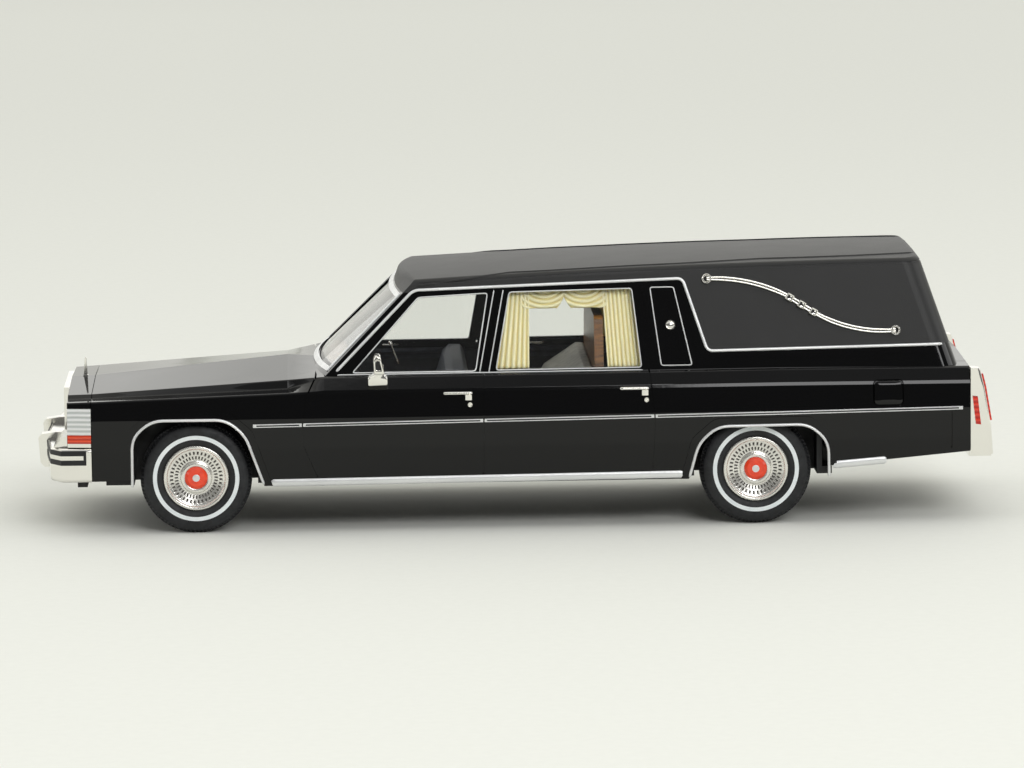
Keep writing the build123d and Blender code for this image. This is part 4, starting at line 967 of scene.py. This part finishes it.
class HEARSE_OT_wheel_covers(bpy.types.Operator):
    """Dished wheel covers with two rings of small slots inside a rolled lip."""

    bl_idname = "hearse.wheel_covers"
    bl_label = "Fit the wheel covers"

    slots_round = 40
    steps_per_slot = 8
    slot_depth_mm = 0.24
    middle_depth_mm = 1.2
    # Columns: radius of the ring's middle, half length of its slots, turn as a share of the pitch
    slot_rings = ((3.77, 0.22, 0.0), (3.02, 0.24, 0.5))
    # Columns: radius, distance from the wheel's middle
    front_profile = (
        (1.72, 1.5),
        (1.72, 1.84),
        (1.8, 1.92),
        (2.25, 1.92),
        (2.34, 1.84),
        (2.44, 1.56),
        (2.56, 1.52),
    )
    # The dish rises evenly from its inner radius, in rows of one width
    dish_radius = 2.62
    dish_foot = 1.5
    dish_rise = 0.5
    dish_width = 1.68
    dish_step = 0.068
    dish_rows = 25
    lip_profile = (
        (4.32, 2.0),
        (4.4, 2.1),
        (4.46, 2.3),
        (4.56, 2.38),
        (4.8, 2.39),
        (4.93, 2.32),
        (4.98, 2.2),
        (4.98, -1.15),
        (0.75, -1.15),
        (0.75, 1.5),
    )

    def execute(self, context):
        plated = plated_abs_with_painted_slot_shade()
        around = self.slots_round * self.steps_per_slot
        dish = []
        for row in range(self.dish_rows):
            out = row * self.dish_step
            dish.append((self.dish_radius + out, self.dish_foot + self.dish_rise * out / self.dish_width))
        rows = [*self.front_profile, *dish, *self.lip_profile]
        for place in WHEEL_PLACES:
            low, high, centre, side = wheel_part(f"rim_{place}")
            middle_y = (low.y if side > 0 else high.y) + side * self.middle_depth_mm
            points, depths = [], []
            for step in range(around):
                angle = 2 * math.pi * step / around
                for radius, offset in rows:
                    cut = self.cut(radius, step) if 2.6 < radius < 4.3 else 0.0
                    depths.append(cut)
                    x, z = radius * math.cos(angle), radius * math.sin(angle)
                    y = middle_y + side * (offset - cut * self.slot_depth_mm)
                    points.append((centre.x + x, y, centre.z + z))
            columns = len(rows)
            faces = grid_faces(around, columns, wrap=True)
            for step in range(around):
                a, b = step * columns, ((step + 1) % around) * columns
                faces.append((a, b, b + columns - 1, a + columns - 1))
            obj = mesh_piece(f"wheel_cover_{place}", points, faces, [plated], wheelset_of(place))
            turn_outward(obj.data)
            # The slots' depth also sets the painted shade in them
            write_values(obj, "slot_depth", depths)
            obj.data.set_sharp_from_angle(angle=math.radians(50))
            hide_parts(f"rim_{place}")
        return {"FINISHED"}

    def cut(self, radius, step):
        """How deep the cover is pressed at a place, from 0 to 1."""
        # A slot's ends slope over 0.08 mm and its sides over 0.14 of the pitch
        deepest = 0.0
        for middle, half_length, turn in self.slot_rings:
            along = max(0.0, min(1.0, (half_length - abs(radius - middle)) / 0.08 + 0.5))
            share = (step / self.steps_per_slot + turn) % 1.0
            across = max(0.0, min(1.0, (0.25 - abs(share - 0.5)) / 0.14))
            deepest = max(deepest, along * across)
        return deepest


class HEARSE_OT_wheel_trims(bpy.types.Operator):
    """Enamel, buttons and axle finish of the wheels."""

    bl_idname = "hearse.wheel_trims"
    bl_label = "Trim the wheels"

    button_mm = 0.62
    stud_mm = 0.13
    stud_circle_mm = 4.66
    stud_step_mm = 0.08
    stud_turns = (0.0, math.pi)

    def execute(self, context):
        colours = context.scene.hearse_colours
        enamel = orange_red_enamel(colours.hub)
        finish_solids(turned_steel(), "front_axle", "rear_axle")
        plated = bpy.data.materials["hot_stamped_foil"]
        for place in WHEEL_PLACES:
            finish_solids(enamel, f"hub_cap_{place}")
            low, high, centre, side = wheel_part(f"hub_cap_{place}")
            face = side * max(abs(low.y), abs(high.y))
            foot = Vector((centre.x, face - side * 0.04, centre.z))
            parts = [self.dome(place, foot, side, self.button_mm, 0.1, plated)]
            for turn in self.stud_turns:
                x = centre.x + self.stud_circle_mm * math.sin(turn)
                z = centre.z + self.stud_circle_mm * math.cos(turn)
                foot = Vector((x, face + side * self.stud_step_mm, z))
                parts.append(self.dome(place, foot, side, self.stud_mm, self.stud_mm, plated))
            join_pieces(f"wheel_buttons_{place}", parts)
        return {"FINISHED"}

    def dome(self, place, foot, side, radius, height, material):
        """A small domed button on the wheel's outer face."""
        loops = []
        for share in (0.0, 0.3, 0.6, 0.85, 0.97):
            middle = foot + Y_AXIS * side * height * share
            loops.append(circle(middle, X_AXIS, Z_AXIS, radius * math.sqrt(1 - share**2), 16))
        return tube_piece(f"dome_{place}", loops, [material], wheelset_of(place))


class HEARSE_OT_bright_lines(bpy.types.Operator):
    """Rounded beads for the trim of roof, windows and wheel arches."""

    bl_idname = "hearse.bright_lines"
    bl_label = "Lay the bright lines"

    roof_line = ((27.025, 24.4), (15.125, 36.3), (-25.975, 37.5), (-29.575, 26.6), (-65.825, 27.1))
    front_window = ((14.425, 35.2), (3.825, 35.7), (5.825, 24.1), (24.625, 24.1))
    rear_window = ((0.525, 35.8), (-18.175, 36.1), (-19.475, 24.3), (2.725, 24.2))
    belt_line = ((26.9, 23.84), (-19.6, 23.92))
    sill_lines = (((37.2, 7.75), (-25.6, 8.05)), ((-48.0, 9.05), (-69.4, 10.65)))
    # Edge of the covered roof, where a seam runs round it
    welt_line = ((14.6, 36.9), (1.85, 38.45), (-16.5, 39.15), (-37.9, 39.8), (-62.2, 40.2))
    pillars = (((5.225, 23.9), (2.825, 36.1)), ((3.825, 23.9), (1.425, 36.1)))
    opera_window = ((-20.975, 36.2), (-24.575, 36.2), (-27.175, 24.5), (-22.475, 24.5))
    # Columns: x from the axle, z
    front_arch = ((9.7, 5.0), (9.6, 15.0), (6.6, 17.6), (-4.7, 17.6), (-7.6, 15.2), (-11.2, 5.0))
    rear_arch = ((10.9, 5.0), (8.8, 12.9), (5.9, 15.4), (-8.0, 15.5), (-11.0, 12.8), (-11.2, 5.0))
    step_mm = 0.35

    def execute(self, context):
        foil = bpy.data.materials["hot_stamped_foil"]
        front_x = box_mm("front_axle")[0].x + 0.7
        rear_x = box_mm("rear_axle")[0].x + 0.7
        arches = [
            [(axle_x + x, z) for x, z in arch]
            for axle_x, arch in ((front_x, self.front_arch), (rear_x, self.rear_arch))
        ]
        frames = [(line, True) for line in (self.front_window, self.rear_window)]
        frames += [(line, False) for line in self.pillars]
        # Columns: node, lines and whether each is closed, width, height, corner radius, lean
        sets = (
            ("roof_trim", [(self.roof_line, False)], 0.46, 0.22, 0.9, CABIN_LEAN),
            ("window_frames", frames, 0.2, 0.14, 0.5, CABIN_LEAN),
            ("opera_frames", [(self.opera_window, True)], 0.2, 0.14, 0.4, CABIN_LEAN),
            ("arch_lips", [(line, False) for line in arches], 0.44, 0.24, 2.6, 0.0),
            ("belt_mouldings", [(self.belt_line, False)], 0.3, 0.3, 0.1, CABIN_LEAN),
            ("sill_mouldings", [(line, False) for line in self.sill_lines], 1.15, 0.22, 0.1, 0.0),
        )
        for node, lines, width, height, radius, lean in sets:
            tree = outer_surface(node)
            for side, label in SIDES:
                beads = []
                for line, closed in lines:
                    path = round_corners(line, radius, self.step_mm, closed)
                    runs = on_surface(tree, path, side)
                    whole = closed and len(runs) == 1
                    beads += [bead("bead", run, width, height, lean, side, foil, whole) for run in runs]
                set_of_beads = join_pieces(f"{node}_{label}", beads)
                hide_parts(node)
        roof = outer_surface("roof_cover")
        vinyl = bpy.data.materials["sprayed_satin_vinyl"]
        for side, label in SIDES:
            path = round_corners(self.welt_line, 2.0, self.step_mm)
            proud = Vector((0.0, side * 0.1, 0.05))
            seam = [point + proud for run in on_surface(roof, path, side) for point in run]
            welt = bead(f"roof_welt_{label}", seam, 0.42, 0.16, 0.6, side, vinyl)
        return {"FINISHED"}


class HEARSE_OT_door_fittings(bpy.types.Operator):
    """Door handles with locks, door mirrors, filler flap and the discs on the rear quarters."""

    bl_idname = "hearse.door_fittings"
    bl_label = "Fit handles and mirrors"

    # Columns: x of the handle's rear end, z of its middle
    handles = ((6.325, 21.1), (-20.525, 21.4))
    handle_y = 22.3
    mirror_head = ((19.7, 24.5), (20.4, 27.3), (21.15, 27.4), (21.45, 26.7), (21.4, 24.5))
    mirror_foot = (
        (19.25, 22.5),
        (19.25, 23.6),
        (19.85, 24.2),
        (19.85, 25.5),
        (21.0, 25.5),
        (21.2, 24.2),
        (22.3, 23.7),
        (22.3, 22.4),
    )
    # Columns: y, share of the head's size
    mirror_hollow = ((25.0, 0.62), (24.75, 0.56), (24.7, 0.5))
    # The only large face outside this y is the foot of the hollow
    mirror_hollow_y = 24.6
    flap = ((-59.3, 18.1), (-59.3, 21.95), (-54.65, 21.95), (-54.65, 18.1))
    flap_rise = 0.26
    disc_at = (-23.975, 30.5)
    # Columns: radius, height
    lock_profile = (
        (0.4, -0.9),
        (0.4, -0.04),
        (0.34, 0.04),
        (0.26, 0.04),
        (0.21, -0.03),
        (0.2, -0.12),
        (0.05, -0.12),
    )
    disc_profile = (
        (0.78, -0.2),
        (0.78, 0.02),
        (0.72, 0.1),
        (0.62, 0.1),
        (0.55, 0.02),
        (0.5, 0.0),
        (0.42, 0.06),
        (0.2, 0.12),
        (0.04, 0.13),
    )

    def execute(self, context):
        plated = bpy.data.materials["vacuum_plated_abs"]
        black = bpy.data.materials["moulded_black_abs"]
        cabin = outer_surface("opera_discs")
        for side, label in SIDES:
            parts = []
            for x, z in self.handles:
                parts.append(self.bar(side, (x + 0.15, z), (x + 4.5, z), 0.5, plated))
                parts.append(self.bar(side, (x + 0.7, z - 0.2), (x + 0.7, z - 1.1), 1.1, plated))
                lock_at = Vector((x + 0.5, side * self.handle_y, z - 1.75))
                parts.append(lathe("lock", lock_at, side * Y_AXIS, self.lock_profile, plated))
            self.stand_in(f"door_handles_{label}", parts, "door_handles")
            finishes = [plated, black]
            head = side_block("head", self.mirror_head, 0.35, 21.6, 25.0, side, finishes, self.mirror_hollow)
            # The foot of the hollow in the mirror head's outer end is made black: a painted shade in the
            # hollow
            for polygon in head.data.polygons:
                if polygon.center.y * side > self.mirror_hollow_y * MM and polygon.area > 0.3 * MM * MM:
                    polygon.material_index = 1
            foot = side_block("foot", self.mirror_foot, 0.3, 19.7, 22.4, side, finishes)
            self.stand_in(f"door_mirrors_{label}", [head, foot], "door_mirrors")
            x, z = self.disc_at
            out = Vector((0.0, side, CABIN_LEAN)).normalized()
            disc = lathe("disc", Vector((x, side_y(cabin, x, z, side), z)), out, self.disc_profile, plated)
            self.stand_in(f"opera_disc_{label}", [disc], "opera_discs")
        self.fit_flap()
        return {"FINISHED"}

    def fit_flap(self):
        """A filler flap with a pillowed face on the left rear quarter."""
        body = outer_surface("body_shell")
        path = round_corners(self.flap, 0.8, 0.3, closed=True)
        middle = sum(path, Vector((0.0, 0.0))) / len(path)
        loops = []
        for share in (1.0, 0.99, 0.96, 0.92, 0.88, 0.84, 0.8, 0.74, 0.66, 0.5, 0.3, 0.1):
            height = self.flap_rise * (1 - share**6) - (0.2 if share == 1.0 else 0.0)
            placed = [middle + (p - middle) * share for p in path]
            loops.append([(p.x, side_y(body, p.x, p.y, 1) + height, p.y) for p in placed])
        flap = tube_piece("filler_flap", loops, [bpy.data.materials["sprayed_black_lacquer"]])

    def stand_in(self, name, parts, node):
        """Joins the parts of a fitting that takes the place of a solid."""
        piece = join_pieces(name, parts)
        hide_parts(node)

    def bar(self, side, start, end, width, material):
        """A half-round bar on the door between two places, given as (x, z)."""
        first, last = (Vector((x, side * self.handle_y, z)) for x, z in (start, end))
        points = [first.lerp(last, share) for share in (0.0, 0.04, 0.1, 0.5, 0.9, 0.96, 1.0)]
        return bead("bar", points, width, 0.3, 0.0, side, material, root=0.6)


class HEARSE_OT_landau_bars(bpy.types.Operator):
    """S-shaped bars of two thin rods, with an eye at each end and three links between the arms."""

    bl_idname = "hearse.landau_bars"
    bl_label = "Mount the landau bars"

    # Each arm runs through three places, given as (x, z)
    arms = (
        ((-29.675, 37.3), (-36.475, 36.6), (-41.875, 34.6)),
        ((-46.375, 31.8), (-52.275, 29.6), (-58.375, 29.2)),
    )
    rod_mm = 0.16
    rod_offset_mm = 0.22
    rod_height_mm = 0.26
    eye_mm = 0.6
    eye_rod_mm = 0.22
    # Half length and half width of a link
    link_length_mm = 0.62
    link_width_mm = 0.6

    def execute(self, context):
        plated = bpy.data.materials["vacuum_plated_abs"]
        tree = outer_surface("roof_cover")
        # The links sit between the lower end of the first arm and the upper end of the second
        join_start, join_end = Vector(self.arms[0][2]), Vector(self.arms[1][0])
        for side, label in SIDES:
            out = Vector((0.0, side, CABIN_LEAN)).normalized()

            def place(x, z, height):
                return Vector((x, side_y(tree, x, z, side), z)) + out * height

            parts = []
            for share in (0.1, 0.5, 0.9):
                middle = place(*join_start.lerp(join_end, share), 0.3)
                parts.append(self.link(middle, join_end - join_start, out, plated))
            for start, bend, end in self.arms:
                path = [place(x, z, self.rod_height_mm) for x, z in self.arc(start, bend, end)]
                parts += self.rods(path, out, plated)
            path = [place(*join_start.lerp(join_end, share / 6), 0.2) for share in range(7)]
            parts += self.rods(path, out, plated)
            for x, z in (self.arms[0][0], self.arms[1][2]):
                parts.append(self.eye(place(x, z, self.eye_rod_mm), out, plated))
            bar = join_pieces(f"landau_bar_{label}", parts)
            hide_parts("landau_bars")
        return {"FINISHED"}

    def arc(self, start, bend, end):
        """Points on the circle through three places."""
        (ax, az), (bx, bz), (cx, cz) = start, bend, end
        d = 2 * (ax * (bz - cz) + bx * (cz - az) + cx * (az - bz))
        a2, b2, c2 = ax * ax + az * az, bx * bx + bz * bz, cx * cx + cz * cz
        ox = (a2 * (bz - cz) + b2 * (cz - az) + c2 * (az - bz)) / d
        oz = (a2 * (cx - bx) + b2 * (ax - cx) + c2 * (bx - ax)) / d
        radius = math.hypot(ax - ox, az - oz)
        first, last = math.atan2(az - oz, ax - ox), math.atan2(cz - oz, cx - ox)
        turn = (last - first + math.pi) % (2 * math.pi) - math.pi
        count = 40
        angles = [first + turn * i / count for i in range(count + 1)]
        return [(ox + radius * math.cos(angle), oz + radius * math.sin(angle)) for angle in angles]

    def rods(self, path, out, material):
        """Two round rods beside each other along a path."""
        made = []
        last = len(path) - 1
        for offset in (self.rod_offset_mm, -self.rod_offset_mm):
            loops = []
            for i, point in enumerate(path):
                along = (path[min(i + 1, last)] - path[max(i - 1, 0)]).normalized()
                across = out.cross(along).normalized()
                # The rods close up towards the ends of each arm
                near_end = min(i, last - i) / last
                middle = point + across * offset * (0.75 + 0.25 * min(1.0, near_end * 5))
                loops.append(circle(middle, across, out, self.rod_mm))
            made.append(tube_piece("rod", loops, [material]))
        return made

    def link(self, middle, direction, out, material):
        """One square link with bevelled edges, turned along the bar."""
        along = Vector((direction.x, 0.0, direction.y)).normalized()
        across = out.cross(along).normalized()
        along, across = along * self.link_length_mm, across * self.link_width_mm
        corners = ((-1, -1), (-1, 0), (-1, 1), (0, 1), (1, 1), (1, 0), (1, -1), (0, -1))
        loops = []
        for height, scale in ((-0.35, 1.0), (0.06, 1.0), (0.2, 0.9), (0.28, 0.7), (0.26, 0.5), (0.05, 0.42)):
            level = middle + out * height
            loops.append([tuple(level + (along * a + across * b) * scale) for a, b in corners])
        link = tube_piece("link", loops, [material, bpy.data.materials["moulded_black_abs"]])
        # The hollow in the middle of a link is painted black: a painted shade
        for polygon in link.data.polygons:
            away = polygon.center / MM - middle
            if away.dot(out) > 0 and away.length < 0.24:
                polygon.material_index = 1
        return link

    def eye(self, middle, out, material):
        """A ring at the end of an arm."""
        second = out.cross(X_AXIS).normalized()
        loops = []
        for point in circle(Vector(), X_AXIS, second, 1.0, 28):
            away = Vector(point)
            loops.append(circle(middle + away * self.eye_mm, away, out * 1.2, self.eye_rod_mm))
        return tube_piece("eye", loops, [material], ring=True)


class HEARSE_OT_moulding_inserts(bpy.types.Operator):
    """Black line printed along the middle of the side mouldings, between two bright edges."""

    bl_idname = "hearse.moulding_inserts"
    bl_label = "Fill the side mouldings"

    line_mm = ((39.8, 16.6), (-68.4, 17.55))
    half_height_mm = 0.1
    proud_mm = 0.03
    step_mm = 0.5
    end_gap_mm = 0.3

    def execute(self, context):
        tree = outer_surface("side_mouldings")
        black = bpy.data.materials["moulded_black_abs"]
        (front_x, front_z), (rear_x, rear_z) = self.line_mm
        count = round((front_x - rear_x) / self.step_mm)
        for side, label in SIDES:
            runs, run = [], []
            for i in range(count + 1):
                x = front_x - i * self.step_mm
                z = front_z + (rear_z - front_z) * i / count
                y = side_y(tree, x, z, side)
                clear = all(side_y(tree, x + end, z, side) for end in (-self.end_gap_mm, self.end_gap_mm))
                if y and clear:
                    run.append((x, y, z))
                elif run:
                    runs.append(run)
                    run = []
            runs.append(run)
            strips = [self.strip(side, points, black) for points in runs if len(points) > 1]
            join_pieces(f"moulding_inserts_{label}", strips)
        return {"FINISHED"}

    def strip(self, side, points, material):
        """A flat strip that follows the surface."""
        h, out = self.half_height_mm, side * self.proud_mm
        loops = [
            [(x, y - out, z - h), (x, y + out, z - h), (x, y + out, z + h), (x, y - out, z + h)]
            for x, y, z in points
        ]
        return tube_piece("strip", loops, [material], smooth=False)


class HEARSE_OT_stage(bpy.types.Operator):
    """Paper floor, soft lamps, dim room and the photograph's camera."""

    bl_idname = "hearse.stage"
    bl_label = "Set the stage"

    image_width_px = 1024
    sensor_mm = 36.0
    focal_px = 5630.2
    camera_at = (28.35, 868.21, 141.70)
    yaw = -0.033
    pitch = 0.140
    roll = -0.012
    floor_half_mm = 4000.0
    # Columns: name, place, point aimed at, width and length, all in metres, and power in watts
    lamps = (
        ("overhead_softbox", (0.0, 0.28, 1.1), (0.0, 0.0, 0.0), (2.4, 0.75), 3.0),
        ("rear_softbox", (0.0, -1.2, 0.42), (0.0, 0.0, 0.02), (2.6, 0.55), 1.9),
        ("front_softbox", (-0.5, 1.2, 0.85), (0.0, 0.0, 0.02), (0.9, 0.5), 8.8),
        ("nose_softbox", (1.15, 0.1, 0.5), (0.0, 0.0, 0.0), (0.7, 0.5), 2.4),
        ("tail_softbox", (-1.15, 0.1, 0.5), (0.0, 0.0, 0.0), (0.7, 0.5), 2.4),
    )

    def execute(self, context):
        colours = context.scene.hearse_colours
        self.lay_floor(colours)
        self.light_room()
        for name, place, target, size, watts in self.lamps:
            self.hang_lamp(name, place, target, size, watts)
        self.place_camera(context)
        context.scene.view_settings.view_transform = "Standard"
        return {"FINISHED"}

    def lay_floor(self, colours):
        """A wide sheet of paper."""
        half = self.floor_half_mm * MM
        corners = ((-half, -half, 0), (half, -half, 0), (half, half, 0), (-half, half, 0))
        mesh = bpy.data.meshes.new("paper_floor")
        mesh.from_pydata(corners, [], [(0, 1, 2, 3)])
        floor = bpy.data.objects.new("paper_floor", mesh)
        bpy.context.scene.collection.objects.link(floor)
        give_finish(floor, matt_paper(colours.floor))

    def light_room(self):
        """A dim room that is brighter behind the model and overhead."""
        world = bpy.data.worlds.new("studio_room")
        bpy.context.scene.world = world
        world.use_nodes = True
        tree = world.node_tree
        tree.nodes.clear()
        direction = add_node(tree, "ShaderNodeTexCoord").outputs["Generated"]
        parts = add_node(tree, "ShaderNodeSeparateXYZ", inputs={0: direction})
        # Columns: direction, where the ramp starts and ends, brightness at its start and end
        ramps = (("Y", 0.35, -0.35, 0.16, 0.88), ("Z", 0.35, 0.9, 0.0, 0.3))
        behind, above = (
            add_node(
                tree,
                "ShaderNodeMapRange",
                settings={"interpolation_type": "SMOOTHSTEP"},
                inputs={
                    "Value": parts.outputs[axis],
                    "From Min": start,
                    "From Max": end,
                    "To Min": dark,
                    "To Max": bright,
                },
            )
            for axis, start, end, dark, bright in ramps
        )
        total = add_node(
            tree,
            "ShaderNodeMath",
            settings={"operation": "ADD"},
            inputs={0: behind.outputs[0], 1: above.outputs[0]},
        )
        # The backdrop behind the model is a warmer white than the room in front
        colour = add_node(
            tree,
            "ShaderNodeMix",
            settings={"data_type": "RGBA"},
            inputs={0: behind.outputs[0], 6: linear("#f4f5f4"), 7: linear("#f3f2ea")},
        ).outputs[2]
        background = add_node(
            tree, "ShaderNodeBackground", inputs={"Color": colour, "Strength": total.outputs[0]}
        )
        add_node(tree, "ShaderNodeOutputWorld", inputs={"Surface": background.outputs[0]})

    def hang_lamp(self, name, place, target, size, watts):
        """A soft rectangular lamp aimed at a point."""
        lamp = bpy.data.lights.new(name, "AREA")
        lamp.shape = "RECTANGLE"
        lamp.size, lamp.size_y = size
        lamp.energy = watts
        obj = bpy.data.objects.new(name, lamp)
        obj.location = place
        obj.rotation_euler = (Vector(target) - Vector(place)).to_track_quat("-Z", "Y").to_euler()
        bpy.context.scene.collection.objects.link(obj)

    def place_camera(self, context):
        """The photograph's camera, fitted from the wheels and the ends of the model."""
        data = bpy.data.cameras.new("photo_camera")
        data.sensor_width = self.sensor_mm
        data.lens = self.focal_px / self.image_width_px * self.sensor_mm
        data.clip_start, data.clip_end = 0.01, 20.0
        camera = bpy.data.objects.new("photo_camera", data)
        right = Vector((-math.cos(self.yaw), -math.sin(self.yaw), 0))
        back = Vector((-math.sin(self.yaw), math.cos(self.yaw), 0))
        tilted_up = Z_AXIS * math.cos(self.pitch) - back * math.sin(self.pitch)
        tilted_back = back * math.cos(self.pitch) + Z_AXIS * math.sin(self.pitch)
        x_axis = right * math.cos(self.roll) + tilted_up * math.sin(self.roll)
        y_axis = -right * math.sin(self.roll) + tilted_up * math.cos(self.roll)
        turn = Matrix((x_axis, y_axis, tilted_back)).transposed().to_4x4()
        camera.matrix_world = Matrix.Translation(Vector(self.camera_at) * MM) @ turn
        context.scene.collection.objects.link(camera)
        context.scene.camera = camera


class HEARSE_PT_panel(bpy.types.Panel):
    """Lists the steps and settings in the sidebar."""

    bl_label = "Scale model hearse"
    bl_idname = "HEARSE_PT_panel"
    bl_space_type = "VIEW_3D"
    bl_region_type = "UI"
    bl_category = "Hearse"

    def draw(self, context):
        for step in STEPS:
            self.layout.operator(step.bl_idname)
        for group in (context.scene.hearse_colours, context.scene.hearse_sizes):
            for name in group.__annotations__:
                self.layout.prop(group, name)


STEPS = (
    HEARSE_OT_body_finish,
    HEARSE_OT_brightwork,
    HEARSE_OT_glazing,
    HEARSE_OT_cabin_finish,
    HEARSE_OT_door_cards,
    HEARSE_OT_curtains,
    HEARSE_OT_tyres,
    HEARSE_OT_wheel_covers,
    HEARSE_OT_wheel_trims,
    HEARSE_OT_bright_lines,
    HEARSE_OT_door_fittings,
    HEARSE_OT_landau_bars,
    HEARSE_OT_moulding_inserts,
    HEARSE_OT_stage,
)
CLASSES = (HearseColours, HearseSizes, *STEPS, HEARSE_PT_panel)


def register():
    for cls in CLASSES:
        bpy.utils.register_class(cls)
    bpy.types.Scene.hearse_colours = bpy.props.PointerProperty(type=HearseColours)
    bpy.types.Scene.hearse_sizes = bpy.props.PointerProperty(type=HearseSizes)


def unregister():
    del bpy.types.Scene.hearse_sizes
    del bpy.types.Scene.hearse_colours
    for cls in reversed(CLASSES):
        bpy.utils.unregister_class(cls)


def main():
    register()
    for step in STEPS:
        group, action = step.bl_idname.split(".")
        getattr(getattr(bpy.ops, group), action)()


if __name__ == "__main__":
    main()
